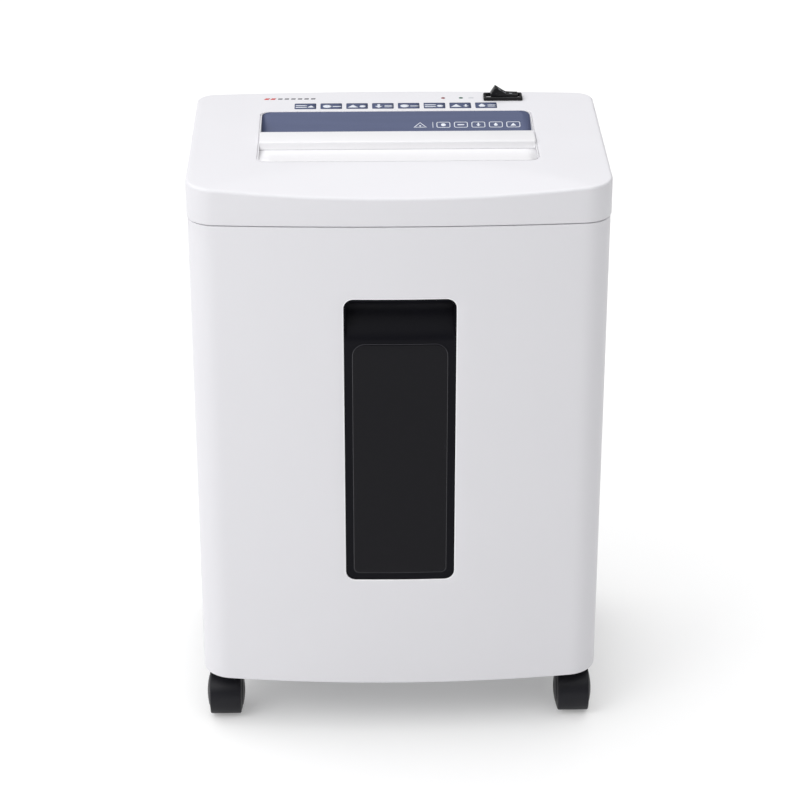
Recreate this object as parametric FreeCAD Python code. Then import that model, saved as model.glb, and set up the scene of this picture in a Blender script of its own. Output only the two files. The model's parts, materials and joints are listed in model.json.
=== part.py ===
"""Free-standing cross-cut paper shredder on casters, with a pull-out waste bin.

Millimetres, +Z up, -Y towards the user. The origin is on the floor, midway between the outermost
points of the body in X and in Y. Each piece is one node, exported to parts/NODE.step.
"""

import FreeCAD
import Part
import math
import os

V = FreeCAD.Vector

# ---- driving dimensions -------------------------------------------------------------------------
HEAD_WIDTH = 355.0        # head cover, side to side
BODY_STEP = 0.75          # the cabinet and drawer front stand this far inside the head
BODY_WIDTH = HEAD_WIDTH - 2 * BODY_STEP
DEPTH = 255.0             # front apex to rear apex
FRONT_BOW = 14.0          # how far the front bulges over the full width
REAR_BOW = 7.0
FRONT_CORNER = 28.0       # plan radius of the front corners
REAR_CORNER = 17.0
BASE_Z = 51.0             # underside of the base, which is the height of the casters
TOP_Z = 520.0             # flat top of the head
HEAD_HEIGHT = 32.0
SEAM_Z = TOP_Z - HEAD_HEIGHT    # joint between head and cabinet, at the sides
SEAM_ARCH = 2.7           # the joint rises this much at the middle of the front
SEAM_GAP = 0.8
TOP_DIP = 5.0             # the top dips this much at the middle of its front edge
WALL = 3.0                # head cover, drawer front and cabinet walls
SHADOW_GAP = 0.6          # between panels that meet edge to edge
FIT_GAP = 0.5             # between a moulding and the one it sits inside
RUN_CLEARANCE = 0.05      # radial, shaft in bearing

# ---- plan outline -------------------------------------------------------------------------------
HALF_DEPTH = DEPTH / 2
FRONT_RADIUS = ((HEAD_WIDTH / 2) ** 2 + FRONT_BOW ** 2) / (2 * FRONT_BOW)
REAR_RADIUS = ((HEAD_WIDTH / 2) ** 2 + REAR_BOW ** 2) / (2 * REAR_BOW)


def front_y(x, inset=0.0):
    """Y of the bowed front surface at x, moved inwards by inset."""
    return -HALF_DEPTH + FRONT_RADIUS - math.sqrt((FRONT_RADIUS - inset) ** 2 - x * x)


def rear_y(x, inset=0.0):
    """Y of the bowed rear surface at x, moved inwards by inset."""
    return HALF_DEPTH - REAR_RADIUS + math.sqrt((REAR_RADIUS - inset) ** 2 - x * x)


def box(x0, x1, y0, y1, z0, z1):
    return Part.makeBox(x1 - x0, y1 - y0, z1 - z0, V(x0, y0, z0))


def rod(radius, start, end):
    """A cylinder from start to end."""
    axis = V(*end) - V(*start)
    return Part.makeCylinder(radius, axis.Length, V(*start), axis)


def tube(outer, inner, start, end):
    return rod(outer, start, end).cut(rod(inner, start, end))


def polygon(points, extrusion):
    """A prism on a closed outline of points."""
    corners = [V(*p) for p in points]
    return Part.Face(Part.makePolygon(corners + [corners[0]])).extrude(V(*extrusion))


def vertical_edges(solid, keep=lambda x, y: True):
    found = []
    for edge in solid.Edges:
        a, b = edge.Vertexes[0].Point, edge.Vertexes[-1].Point
        if len(edge.Vertexes) == 2 and abs(a.x - b.x) + abs(a.y - b.y) < 1e-6 and keep(a.x, a.y):
            found.append(edge)
    return found


def rounded_box(x0, x1, y0, y1, z0, z1, radius):
    """A box with its upright edges rounded."""
    block = box(x0, x1, y0, y1, z0, z1)
    return block.makeFillet(radius, vertical_edges(block))


def round_edges(solid, radius, keep):
    """Fillets the edges whose midpoint satisfies keep(x, y, z)."""
    chosen = []
    for edge in solid.Edges:
        middle = edge.valueAt((edge.FirstParameter + edge.LastParameter) / 2)
        if keep(middle.x, middle.y, middle.z):
            chosen.append(edge)
    return solid.makeFillet(radius, chosen)


def plan_prism(width, inset, z0, z1):
    """The bowed, round-cornered plan outline, moved inwards by inset, between two heights."""
    hw = width / 2 - inset
    fy, ry = front_y(hw, inset), rear_y(hw, inset)
    front = Part.Arc(V(-hw, fy, z0), V(0, front_y(0, inset), z0), V(hw, fy, z0)).toShape()
    right = Part.makeLine(V(hw, fy, z0), V(hw, ry, z0))
    rear = Part.Arc(V(hw, ry, z0), V(0, rear_y(0, inset), z0), V(-hw, ry, z0)).toShape()
    left = Part.makeLine(V(-hw, ry, z0), V(-hw, fy, z0))
    prism = Part.Face(Part.Wire([front, right, rear, left])).extrude(V(0, 0, z1 - z0))
    prism = prism.makeFillet(FRONT_CORNER - inset, vertical_edges(prism, lambda x, y: y < 0))
    return prism.makeFillet(REAR_CORNER - inset, vertical_edges(prism, lambda x, y: y > 0))


def plan_ring(width, inset, wall, z0, z1):
    return plan_prism(width, inset, z0, z1).cut(plan_prism(width, inset + wall, z0 - 1, z1 + 1))


def seam_slab(gap):
    """Everything below the arched joint line, less a gap."""
    half = HEAD_WIDTH / 2 + 20
    rise = SEAM_ARCH * (half / (HEAD_WIDTH / 2)) ** 2
    z_side = SEAM_Z + SEAM_ARCH - rise - gap
    arc = Part.Arc(V(-half, 0, z_side), V(0, 0, SEAM_Z + SEAM_ARCH - gap), V(half, 0, z_side)).toShape()
    sides = Part.makePolygon([V(half, 0, z_side), V(half, 0, 0), V(-half, 0, 0), V(-half, 0, z_side)])
    face = Part.Face(Part.Wire([arc] + sides.Edges))
    return face.extrude(V(0, DEPTH * 2, 0)).translated(V(0, -DEPTH, 0))


NODES = {}


def node(name, *shapes):
    """Registers one piece. Several shapes become a group of separate solids."""
    NODES[name] = shapes[0] if len(shapes) == 1 else Part.makeCompound(list(shapes))
    return NODES[name]


# ---- feed throat sizes, which the head cover, the insert and the cutters share ------------------
SHAFT_GAP = 34.0          # between the two shaft centres, which is the sync gears' pitch diameter
CUT_DEPTH = 2.0           # the discs of one shaft reach this far past the middle, between the others
DISC_R = SHAFT_GAP / 2 + CUT_DEPTH
MOTOR_R = 25.5
MOTOR_GAP = 4.5           # between the motor and the rear cutter's discs
MOTOR_Y = HALF_DEPTH - 39.5
SLOT_Y = MOTOR_Y - MOTOR_R - MOTOR_GAP - DISC_R - SHAFT_GAP / 2    # above the nip of the cutters
SLOT_WIDTH = 6.0
SLOT_HALF = 115.0
THROAT_HALF = SLOT_HALF + 4.0      # half width of the opening in the head cover
THROAT_FRONT = SLOT_Y - 73.7
THROAT_REAR = SLOT_Y + 51.3
THROAT_R_FRONT = 9.0
THROAT_R_REAR = 8.0
SHAFT_Z = TOP_Z - 75.0
SLOT_BOTTOM = SHAFT_Z + DISC_R + 4.0
INSERT_GAP = 0.25
CHEEK = 0.8               # thin side cheeks of the insert
BAR_FRONT = SLOT_Y - 37.0
BAR_REAR = SLOT_Y - SLOT_WIDTH / 2 - 2.0
BAR_TOP = TOP_Z + 2.5
SHELF_Z = TOP_Z - 3.5     # the lip slopes down to this shelf, which carries the guide bar
RAMP_LOW_Z = TOP_Z - 12.5 # rear guide at the slot
SKIN = 2.5                # thickness of inner mouldings
LABEL = 0.4

# ---- switch and lamps ---------------------------------------------------------------------------
SWITCH_X = 96.6
SWITCH_Y = HALF_DEPTH - 21.5
SWITCH_BEZEL = (35.0, 14.6, 3.2)
SWITCH_BODY = (30.0, 11.6, 26.0)
ROCKER_TILT = 18.0        # degrees, right side pressed
ROCKER_X = SWITCH_X + 0.8
LAMP_X = (43.0, 59.0)
LAMP_Y = SWITCH_Y + 1.0
LAMP_R = 1.9

# ---- cutting unit -------------------------------------------------------------------------------
FRONT_SHAFT_Y = SLOT_Y - SHAFT_GAP / 2
REAR_SHAFT_Y = SLOT_Y + SHAFT_GAP / 2
CORE_R = SHAFT_GAP - DISC_R - 1.6
DISC_W = 3.6
DISC_PITCH = 8.0
DISC_COUNT = 28
JOURNAL_R = 6.0
PLATE_X = SLOT_HALF + 5.0 # inner face of each side plate
PLATE_T = 3.0
TRAY_Z = SHAFT_Z - 42.0   # underside of the mechanism tray
MOTOR_Z = SHAFT_Z


# ---- head ---------------------------------------------------------------------------------------
def top_dish(offset):
    """A shallow cylinder that scoops the top down towards the middle of the front edge."""
    run = THROAT_FRONT + HALF_DEPTH
    radius = (HEAD_WIDTH / 2) ** 2 / (2 * TOP_DIP)
    slope = math.atan2(TOP_DIP, run)
    low = V(0, -HALF_DEPTH, TOP_Z - TOP_DIP - offset)
    axis = V(0, math.cos(slope), math.sin(slope))
    up = V(0, -math.sin(slope), math.cos(slope))
    return Part.makeCylinder(radius + offset, 3 * run, low + up * (radius + offset) - axis * run, axis)


def throat_prism(gap, z0, z1):
    """The rounded opening for the feed throat, made smaller by gap."""
    x, y0, y1 = THROAT_HALF - gap, THROAT_FRONT + gap, THROAT_REAR - gap
    block = box(-x, x, y0, y1, z0, z1)
    block = block.makeFillet(THROAT_R_FRONT - gap, vertical_edges(block, lambda px, py: py < 0))
    return block.makeFillet(THROAT_R_REAR - gap, vertical_edges(block, lambda px, py: py > 0))


def head_cover():
    outer = plan_prism(HEAD_WIDTH, 0, SEAM_Z - 10, TOP_Z).cut(top_dish(0))
    outer = outer.cut(seam_slab(0))
    inner = plan_prism(HEAD_WIDTH, WALL, SEAM_Z - 20, TOP_Z - WALL).cut(top_dish(WALL))
    shell = outer.cut(inner)
    shell = shell.cut(throat_prism(0, SEAM_Z, TOP_Z + 5))
    sx, sy = SWITCH_BODY[0] / 2 + 0.2, SWITCH_BODY[1] / 2 + 0.2
    shell = shell.cut(box(SWITCH_X - sx, SWITCH_X + sx, SWITCH_Y - sy, SWITCH_Y + sy, SEAM_Z, TOP_Z + 5))
    for x in LAMP_X:
        shell = shell.cut(rod(LAMP_R + 0.1, (x, LAMP_Y, SEAM_Z), (x, LAMP_Y, TOP_Z + 1)))
    depth = HEAD_SPLIT_Z - POST_CAP + SCREW_LENGTH + 1
    for x, y in head_post_places():
        shell = shell.fuse(rod(POST_R, (x, y, HEAD_SPLIT_Z), (x, y, TOP_Z - WALL - 1.5)))
        shell = shell.fuse(rod(POST_R, (x, y, TOP_Z - WALL - 2), (x, y, TOP_Z - WALL / 2)))
        shell = shell.cut(rod(SCREW_R + RUN_CLEARANCE, (x, y, HEAD_SPLIT_Z - 1), (x, y, depth)))
    return shell.removeSplitter()


def throat_insert():
    """Lip, shelf, slot walls, rear guide ramp and end cheeks as one white moulding."""
    x = THROAT_HALF - INSERT_GAP
    y0, y1 = THROAT_FRONT + INSERT_GAP, THROAT_REAR - INSERT_GAP
    slot_f, slot_r = SLOT_Y - SLOT_WIDTH / 2, SLOT_Y + SLOT_WIDTH / 2
    lip = [(y0, TOP_Z), (BAR_FRONT, SHELF_Z), (slot_f, SHELF_Z), (slot_f, SLOT_BOTTOM),
           (slot_f - SKIN, SLOT_BOTTOM), (slot_f - SKIN, SHELF_Z - SKIN), (BAR_FRONT, SHELF_Z - SKIN),
           (y0, TOP_Z - SKIN)]
    ramp_top = TOP_Z - LABEL
    ramp = [(y1, ramp_top), (slot_r, RAMP_LOW_Z), (slot_r, SLOT_BOTTOM), (slot_r + SKIN, SLOT_BOTTOM),
            (slot_r + SKIN, RAMP_LOW_Z - SKIN), (y1, ramp_top - SKIN)]
    front = polygon([(-x, y, z) for y, z in lip], (2 * x, 0, 0))
    rear = polygon([(-x, y, z) for y, z in ramp], (2 * x, 0, 0))
    body = front.fuse(rear)
    cheek_low = RAMP_LOW_Z - SKIN
    for side in (-1, 1):
        a, b = sorted((side * x, side * (x - CHEEK)))
        body = body.fuse(box(a, b, y0, y1, cheek_low, TOP_Z))
        a, b = sorted((side * SLOT_HALF, side * x))
        body = body.fuse(box(a, b, slot_f - 0.1, slot_r + 0.1, SLOT_BOTTOM, SHELF_Z - 8))
    return body.common(throat_prism(INSERT_GAP, SLOT_BOTTOM - 1, TOP_Z + 1)).removeSplitter()


def guide_bar():
    """White bar in front of the slot, with a rounded nose that hides the slot from the front."""
    x = THROAT_HALF - INSERT_GAP - CHEEK - 0.3
    bar = box(-x, x, BAR_FRONT, BAR_REAR, SHELF_Z, BAR_TOP)
    bar = round_edges(bar, 2.4, lambda px, py, pz: abs(py - BAR_FRONT) < 0.01 and abs(pz - BAR_TOP) < 0.01)
    return round_edges(bar, 1.6, lambda px, py, pz: abs(py - BAR_REAR) < 0.01 and abs(pz - BAR_TOP) < 0.01)


def guide_label():
    """Navy film on the rear guide ramp."""
    x = THROAT_HALF - INSERT_GAP - CHEEK - 0.15
    y0, y1 = SLOT_Y + SLOT_WIDTH / 2 + 0.5, THROAT_REAR - INSERT_GAP - 0.2
    slope = (TOP_Z - LABEL - RAMP_LOW_Z) / (THROAT_REAR - INSERT_GAP - SLOT_Y - SLOT_WIDTH / 2)
    low = TOP_Z - LABEL - slope * (THROAT_REAR - INSERT_GAP - y0)
    high = TOP_Z - LABEL - slope * (THROAT_REAR - INSERT_GAP - y1)
    outline = [(-x, y0, low), (-x, y1, high), (-x, y1, high + LABEL), (-x, y0, low + LABEL)]
    strip = polygon(outline, (2 * x, 0, 0))
    trim = box(-x, x, y0 - 1, y1, RAMP_LOW_Z - 5, TOP_Z + 5)
    trim = trim.makeFillet(THROAT_R_REAR - INSERT_GAP - CHEEK, vertical_edges(trim, lambda px, py: py > 50))
    return strip.common(trim)


def switch_housing():
    bx, by, bz = SWITCH_BEZEL[0] / 2, SWITCH_BEZEL[1] / 2, SWITCH_BEZEL[2]
    cx, cy, cz = SWITCH_BODY[0] / 2, SWITCH_BODY[1] / 2, SWITCH_BODY[2]
    bezel = rounded_box(-bx, bx, -by, by, 0, bz, 1.6)
    bezel = round_edges(bezel, 0.8, lambda x, y, z: abs(z - bz) < 0.01)
    body = box(-cx, cx, -cy, cy, -cz, 1)
    well = box(-cx + 1, cx - 1, -cy + 0.8, cy - 0.8, -14, bz + 1)
    pivot = ROCKER_PIVOT_Z - TOP_Z
    px = ROCKER_X - SWITCH_X
    bearing = rod(ROCKER_PIN_R + RUN_CLEARANCE, (px, -cy - 0.2, pivot), (px, cy + 0.2, pivot))
    housing = bezel.fuse(body).cut(well).cut(bearing).removeSplitter()
    return housing.translated(V(SWITCH_X, SWITCH_Y, TOP_Z))


ROCKER_PIVOT_Z = TOP_Z + 0.5
ROCKER_PIN_R = 1.0


def rocker_button():
    """Rocker with a shallow V top and two trunnions, built level and then tilted."""
    half, low, end, middle = 12.9, -6.5, 7.9, 5.0
    outline = [(-half + 3.6, low), (half - 3.6, low), (half, 0), (half - 2.0, end), (0, middle),
               (-half + 2.0, end), (-half, 0)]
    y = SWITCH_BODY[1] / 2 - 1.1
    rocker = polygon([(x, -y, z) for x, z in outline], (0, 2 * y, 0))
    rocker = round_edges(rocker, 0.7, lambda px, py, pz: pz > end - 0.01)
    rocker = rocker.fuse(rod(ROCKER_PIN_R, (0, -SWITCH_BODY[1] / 2, 0), (0, SWITCH_BODY[1] / 2, 0)))
    rocker.rotate(V(0, 0, 0), V(0, 1, 0), ROCKER_TILT)
    return rocker.translated(V(ROCKER_X, SWITCH_Y, ROCKER_PIVOT_Z))


def lamp_lens(x):
    lens = rod(LAMP_R, (x, LAMP_Y, TOP_Z - 9), (x, LAMP_Y, TOP_Z + 0.5))
    collar = rod(LAMP_R + 1.0, (x, LAMP_Y, TOP_Z - WALL - 1.2), (x, LAMP_Y, TOP_Z - WALL - 0.1))
    lens = lens.fuse(collar)
    return round_edges(lens, 0.4, lambda px, py, pz: abs(pz - TOP_Z - 0.5) < 0.01)


BOARD_Z = TOP_Z - 24.0


def control_board():
    """Circuit board under the lamps, with the two lamp bodies, a relay and a terminal block."""
    board = box(8, 72, 88, 116, BOARD_Z, BOARD_Z + 1.6)
    relay = box(12, 27, 92, 110, BOARD_Z + 1.6, BOARD_Z + 14)
    parts = [board.fuse(relay)]
    for x in LAMP_X:
        parts[0] = parts[0].fuse(rod(1.5, (x, LAMP_Y, BOARD_Z + 1.6), (x, LAMP_Y, TOP_Z - 9.3)))
    return parts[0].fuse(box(64, 71, 90, 102, BOARD_Z + 1.6, BOARD_Z + 9)).removeSplitter()


# ---- cutting unit -------------------------------------------------------------------------------
def involute(angle):
    return math.tan(angle) - angle


PRESSURE = math.radians(20)
ADDENDUM = 0.8
DEDENDUM = 1.15
BACKLASH = 0.24


def spur_gear(teeth, module, x0, x1, centre, phase, bore):
    """Spur gear about X. phase is the angle of a tooth's centre, from +Y towards +Z."""
    pitch_r = module * teeth / 2
    tip_r, root_r = pitch_r + ADDENDUM * module, pitch_r - DEDENDUM * module
    base_r = pitch_r * math.cos(PRESSURE)
    half_tooth = math.pi / (2 * teeth) - BACKLASH / (2 * pitch_r)
    low_r = max(base_r, root_r + 0.02)
    flank = [low_r + (tip_r - low_r) * k / 3 for k in range(4)]

    def half_angle(r):
        return half_tooth + involute(PRESSURE) - involute(math.acos(min(1.0, base_r / r)))

    ring = []
    for t in range(teeth):
        mid = phase + 2 * math.pi * t / teeth
        ring.append((root_r, mid - half_angle(low_r)))
        ring += [(r, mid - half_angle(r)) for r in flank]
        ring += [(r, mid + half_angle(r)) for r in reversed(flank)]
        ring.append((root_r, mid + half_angle(low_r)))
    y, z = centre
    points = [(x0, y + r * math.cos(a), z + r * math.sin(a)) for r, a in ring]
    gear = polygon(points, (x1 - x0, 0, 0))
    return gear.cut(rod(bore, (x0 - 1, y, z), (x1 + 1, y, z)))


def mesh_phase(centre_a, teeth_a, phase_a, centre_b, teeth_b):
    """Phase that puts a gap of gear b on the tooth of gear a, along the line between their centres."""
    beta = math.atan2(centre_b[1] - centre_a[1], centre_b[0] - centre_a[0])
    return beta + math.pi - teeth_a / teeth_b * (phase_a - beta) - math.pi / teeth_b


SYNC_TEETH = 17
SYNC_MODULE = SHAFT_GAP / SYNC_TEETH
DRIVE_MODULE, DRIVE_TEETH, IDLER_PINION_TEETH = 1.5, 45, 14
FIRST_MODULE, IDLER_TEETH, MOTOR_PINION_TEETH = 1.25, 52, 14
SYNC_X = (PLATE_X + PLATE_T + 1.5, PLATE_X + PLATE_T + 10.5)
DRIVE_X = (SYNC_X[1] + 1.5, SYNC_X[1] + 10.5)
FIRST_X = (DRIVE_X[1] + 1.5, DRIVE_X[1] + 8.5)
COVER_X = FIRST_X[1] + 2.0
COVER_T = 3.0
SEAT_R = 5.0              # the gears' seat on each shaft
IDLER_AXLE_R = 3.0

front_centre = (FRONT_SHAFT_Y, SHAFT_Z)
rear_centre = (REAR_SHAFT_Y, SHAFT_Z)
motor_centre = (MOTOR_Y, MOTOR_Z)
drive_reach = DRIVE_MODULE * (DRIVE_TEETH + IDLER_PINION_TEETH) / 2
first_reach = FIRST_MODULE * (IDLER_TEETH + MOTOR_PINION_TEETH) / 2
shaft_span = MOTOR_Y - REAR_SHAFT_Y
idler_along = (shaft_span ** 2 + drive_reach ** 2 - first_reach ** 2) / (2 * shaft_span)
idler_centre = (REAR_SHAFT_Y + idler_along, SHAFT_Z + math.sqrt(drive_reach ** 2 - idler_along ** 2))


def cutter(centre, first_x, twist):
    """One roller turned from a bar: discs with hooked cross-cut teeth between narrower cores."""
    y, z = centre
    start, end = -PLATE_X + 1.0, PLATE_X - 1.0
    outline = [(start, 0), (start, CORE_R)]
    for k in range(DISC_COUNT):
        a = first_x + k * DISC_PITCH
        outline += [(a, CORE_R), (a, DISC_R), (a + DISC_W, DISC_R), (a + DISC_W, CORE_R)]
    outline += [(end, CORE_R), (end, 0)]
    roller = Part.Face(Part.makePolygon([V(x, r, 0) for x, r in outline] + [V(start, 0, 0)]))
    roller = roller.revolve(V(0, 0, 0), V(1, 0, 0), 360)
    hooks = []
    for k in range(DISC_COUNT):
        a = first_x + k * DISC_PITCH - 0.2
        for quarter in range(4):
            turn = twist * k + 90.0 * quarter
            corners = [(a, DISC_R - 3.4, 0), (a, DISC_R + 1, 0.6), (a, DISC_R + 1, -6.5)]
            notch = polygon(corners, (DISC_W + 0.4, 0, 0))
            notch.rotate(V(0, 0, 0), V(1, 0, 0), turn)
            hooks.append(notch)
    roller = roller.cut(Part.makeCompound(hooks))
    left = rod(JOURNAL_R, (-PLATE_X - PLATE_T - 3, 0, 0), (start, 0, 0))
    right = rod(JOURNAL_R, (end, 0, 0), (PLATE_X + PLATE_T + 1.0, 0, 0))
    return roller.fuse([left, right]).translated(V(0, y, z))


def gear_seat(centre, x1):
    """Reduced end of a shaft that carries its gears."""
    return rod(SEAT_R, (PLATE_X + PLATE_T + 1.0, *centre), (x1, *centre))


def side_plate(side):
    """Steel plate that carries both cutters' bushes. The right one also carries the motor."""
    x0 = PLATE_X if side > 0 else -PLATE_X - PLATE_T
    plate = box(x0, x0 + PLATE_T, PLATE_FRONT, plate_rear(side), TRAY_Z + WALL, SHAFT_Z + 24)
    if side > 0:
        iy, iz = idler_centre
        plate = plate.fuse(box(x0, x0 + PLATE_T, iy - 9, iy + 9, SHAFT_Z, iz + 9))
        plate = plate.cut(rod(IDLER_AXLE_R, (x0 - 1, iy, iz), (x0 + PLATE_T + 1, iy, iz)))
        plate = plate.cut(rod(7.0, (x0 - 1, *motor_centre), (x0 + PLATE_T + 1, *motor_centre)))
    for centre in (front_centre, rear_centre):
        plate = plate.cut(rod(BUSH_R, (x0 - 1, *centre), (x0 + PLATE_T + 1, *centre)))
    for y, z in tie_places():
        plate = plate.cut(rod(TIE_R, (x0 - 1, y, z), (x0 + PLATE_T + 1, y, z)))
    return plate.removeSplitter()


BUSH_R = 9.0
TIE_R = 4.0
PLATE_FRONT = FRONT_SHAFT_Y - 32


def plate_rear(side):
    return MOTOR_Y + 26 if side > 0 else REAR_SHAFT_Y + 34


def tie_places():
    """Tie rods stand clear of both cutters, in front of and behind them."""
    front, rear = FRONT_SHAFT_Y - 25, REAR_SHAFT_Y + 22
    return [(front, SHAFT_Z + 14), (front, SHAFT_Z - 20), (rear, SHAFT_Z - 20)]


def tie_rods():
    rods = []
    for y, z in tie_places():
        rods.append(rod(TIE_R, (-PLATE_X - PLATE_T, y, z), (PLATE_X + PLATE_T, y, z)))
    return rods


def shaft_bushes():
    bushes = []
    for side in (-1, 1):
        for centre in (front_centre, rear_centre):
            a, b = side * (PLATE_X - 0.5), side * (PLATE_X + PLATE_T)
            bushes.append(tube(BUSH_R, JOURNAL_R + RUN_CLEARANCE, (a, *centre), (b, *centre)))
    return bushes


def stripper_comb(centre, first_x, side):
    """Comb whose fingers reach between the discs and clear them of paper. side is -1 front, 1 rear."""
    y, z = centre
    reach, back = CORE_R + 0.6, DISC_R + 0.8
    a, b = sorted((y + side * back, y + side * (back + 3.0)))
    comb = box(-PLATE_X + 0.5, PLATE_X - 0.5, a, b, z - 10, z + 8)
    fingers = []
    for k in range(DISC_COUNT - 1):
        x0 = first_x + k * DISC_PITCH + DISC_W + 0.4
        x1 = x0 + DISC_PITCH - DISC_W - 0.8
        a, b = sorted((y + side * reach, y + side * (back + 0.5)))
        fingers.append(box(x0, x1, a, b, z - 4, z + 4))
    return comb.fuse(fingers).removeSplitter()


def motor():
    """Capacitor-run motor: laminated stack, two end bells and a rotor that carries the pinion."""
    y, z = motor_centre
    bell, end, shaft_r = 19.0, 3.0, 4.0
    stack_x = (PLATE_X - bell - 62.0, PLATE_X - bell)
    outer, inner, core = MOTOR_R - 2, MOTOR_R - 4, MOTOR_R - 9
    stack = tube(MOTOR_R, core, (stack_x[0], y, z), (stack_x[1], y, z))
    bells = []
    for a, s in ((stack_x[0], -1), (stack_x[1], 1)):
        b = a + s * bell
        shell = tube(outer, inner, (a, y, z), (b - s * end, y, z))
        cap = tube(outer, shaft_r + RUN_CLEARANCE, (b - s * end, y, z), (b, y, z))
        bells.append(shell.fuse(cap).removeSplitter())
    rotor = rod(shaft_r, (stack_x[0] - bell, y, z), (FIRST_X[1], y, z))
    rotor = rotor.fuse(rod(core - 0.5, (stack_x[0] + 2, y, z), (stack_x[1] - 2, y, z)))
    return stack, bells, rotor.removeSplitter()


def gear_cover():
    """Flat outer plate that closes the gear side and carries the idler's outer end."""
    iy, iz = idler_centre
    plate = box(COVER_X, COVER_X + COVER_T, FRONT_SHAFT_Y - 26, MOTOR_Y + 20, TRAY_Z + 6, SHAFT_Z + 20)
    plate = plate.fuse(box(COVER_X, COVER_X + COVER_T, iy - 9, iy + 9, SHAFT_Z, iz + 9))
    plate = plate.cut(rod(IDLER_AXLE_R, (COVER_X - 1, iy, iz), (COVER_X + COVER_T + 1, iy, iz)))
    for y, z in post_places():
        plate = plate.cut(rod(2.0, (COVER_X - 1, y, z), (COVER_X + COVER_T + 1, y, z)))
    return plate.removeSplitter()


def post_places():
    """Spacer posts between the right side plate and the gear cover."""
    front = FRONT_SHAFT_Y - SHAFT_GAP / 2 - 5
    return [(front, SHAFT_Z - 30), (front, SHAFT_Z + 14), (MOTOR_Y + 8, SHAFT_Z - 28)]


def spacer_posts():
    posts = []
    for y, z in post_places():
        posts.append(tube(4.0, SCREW_R + RUN_CLEARANCE, (PLATE_X + PLATE_T, y, z), (COVER_X, y, z)))
    return posts


def screw(x, y, z, direction):
    """Pan-head screw with a cross recess. The point is under the head, the shank runs along direction."""
    head = rod(SCREW_R * 1.8, (0, 0, -SCREW_HEAD), (0, 0, 0))
    head = round_edges(head, SCREW_HEAD * 0.4, lambda px, py, pz: abs(pz + SCREW_HEAD) < 0.01)
    shank = rod(SCREW_R, (0, 0, 0), (0, 0, SCREW_LENGTH))
    recess = box(-1.7, 1.7, -0.45, 0.45, -SCREW_HEAD - 1, -SCREW_HEAD + 1.1)
    recess = recess.fuse(box(-0.45, 0.45, -1.7, 1.7, -SCREW_HEAD - 1, -SCREW_HEAD + 1.1))
    body = head.fuse(shank).cut(recess)
    turn = FreeCAD.Rotation(V(0, 0, 1), V(*direction))
    body.Placement = FreeCAD.Placement(V(x, y, z), turn)
    return body


def mechanism_screws():
    """Gear cover, mounting feet and head cover all take the same screw."""
    screws = [screw(COVER_X + COVER_T, y, z, (-1, 0, 0)) for y, z in post_places()]
    screws += [screw(x, y, TRAY_Z, (0, 0, 1)) for x, y in plate_feet()]
    screws += [screw(x, y, HEAD_SPLIT_Z - POST_CAP, (0, 0, 1)) for x, y in head_post_places()]
    return screws


def mechanism_tray():
    """Plastic tray that hangs in the top of the cabinet, with the discharge opening in its floor."""
    inset = WALL + 2.5
    front = -106.0
    keep = box(-HEAD_WIDTH, HEAD_WIDTH, front, HEAD_WIDTH, 0, TOP_Z)
    outer = plan_prism(BODY_WIDTH, inset, TRAY_Z, SEAM_Z - 1).common(keep)
    keep_in = box(-HEAD_WIDTH, HEAD_WIDTH, front + SKIN, HEAD_WIDTH, 0, TOP_Z)
    inner = plan_prism(BODY_WIDTH, inset + SKIN, TRAY_Z + WALL, SEAM_Z).common(keep_in)
    tray = outer.cut(inner)
    mouth = box(-DISCHARGE_HALF, DISCHARGE_HALF, *DISCHARGE_Y, TRAY_Z - 1, TRAY_Z + WALL + 1)
    tray = tray.cut(mouth)
    gy, gz = HALF_DEPTH - 30, GLAND_Z
    tray = tray.cut(rod(GLAND_R + 4, (GLAND_X, gy, gz), (GLAND_X, HALF_DEPTH, gz)))
    hole = SCREW_R + RUN_CLEARANCE
    for x, y in plate_feet():
        tray = tray.cut(rod(hole, (x, y, TRAY_Z - 1), (x, y, TRAY_Z + WALL + 1)))
    for x, y in head_post_places():
        tray = tray.fuse(rod(POST_R, (x, y, TRAY_Z), (x, y, HEAD_SPLIT_Z)))
        tray = tray.cut(rod(POST_R - 1.5, (x, y, TRAY_Z - 1), (x, y, HEAD_SPLIT_Z - POST_CAP)))
        tray = tray.cut(rod(hole, (x, y, TRAY_Z), (x, y, HEAD_SPLIT_Z + 1)))
    return tray.removeSplitter()


SCREW_R = 2.0
SCREW_HEAD = 2.4
SCREW_LENGTH = 12.0
HEAD_SPLIT_Z = SEAM_Z - 13.0      # the tray's posts meet the head cover's bosses here
POST_CAP = 3.5
POST_R = 5.5


def head_post_places():
    rear = MOTOR_Y + 20.5
    return [(-150.0, -85.0), (150.0, -85.0), (-150.0, rear - 9), (138.0, rear)]


DISCHARGE_HALF = PLATE_X - 4.0
DISCHARGE_Y = (FRONT_SHAFT_Y - DISC_R - 2, REAR_SHAFT_Y + DISC_R + 2)
GLAND_X = -120.0
GLAND_Z = SHAFT_Z + 10.0
GLAND_R = 7.0
CORD_R = 3.8


def plate_feet():
    front, depth = PLATE_FRONT + 8, 10
    return [(s * (PLATE_X - 7), y) for s in (-1, 1) for y in (front, plate_rear(s) - depth)]


def foot_brackets():
    """Angle brackets that screw each side plate down to the tray."""
    feet = []
    for x, y in plate_feet():
        s = 1 if x > 0 else -1
        a, b = sorted((s * (PLATE_X - 12), s * PLATE_X))
        foot = box(a, b, y - 5, y + 5, TRAY_Z + WALL, TRAY_Z + WALL + 2)
        a, b = sorted((s * (PLATE_X - 2), s * PLATE_X))
        foot = foot.fuse(box(a, b, y - 5, y + 5, TRAY_Z + WALL, TRAY_Z + 12))
        hole = rod(SCREW_R + RUN_CLEARANCE, (x, y, TRAY_Z), (x, y, TRAY_Z + 10))
        feet.append(foot.cut(hole).removeSplitter())
    return feet


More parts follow.
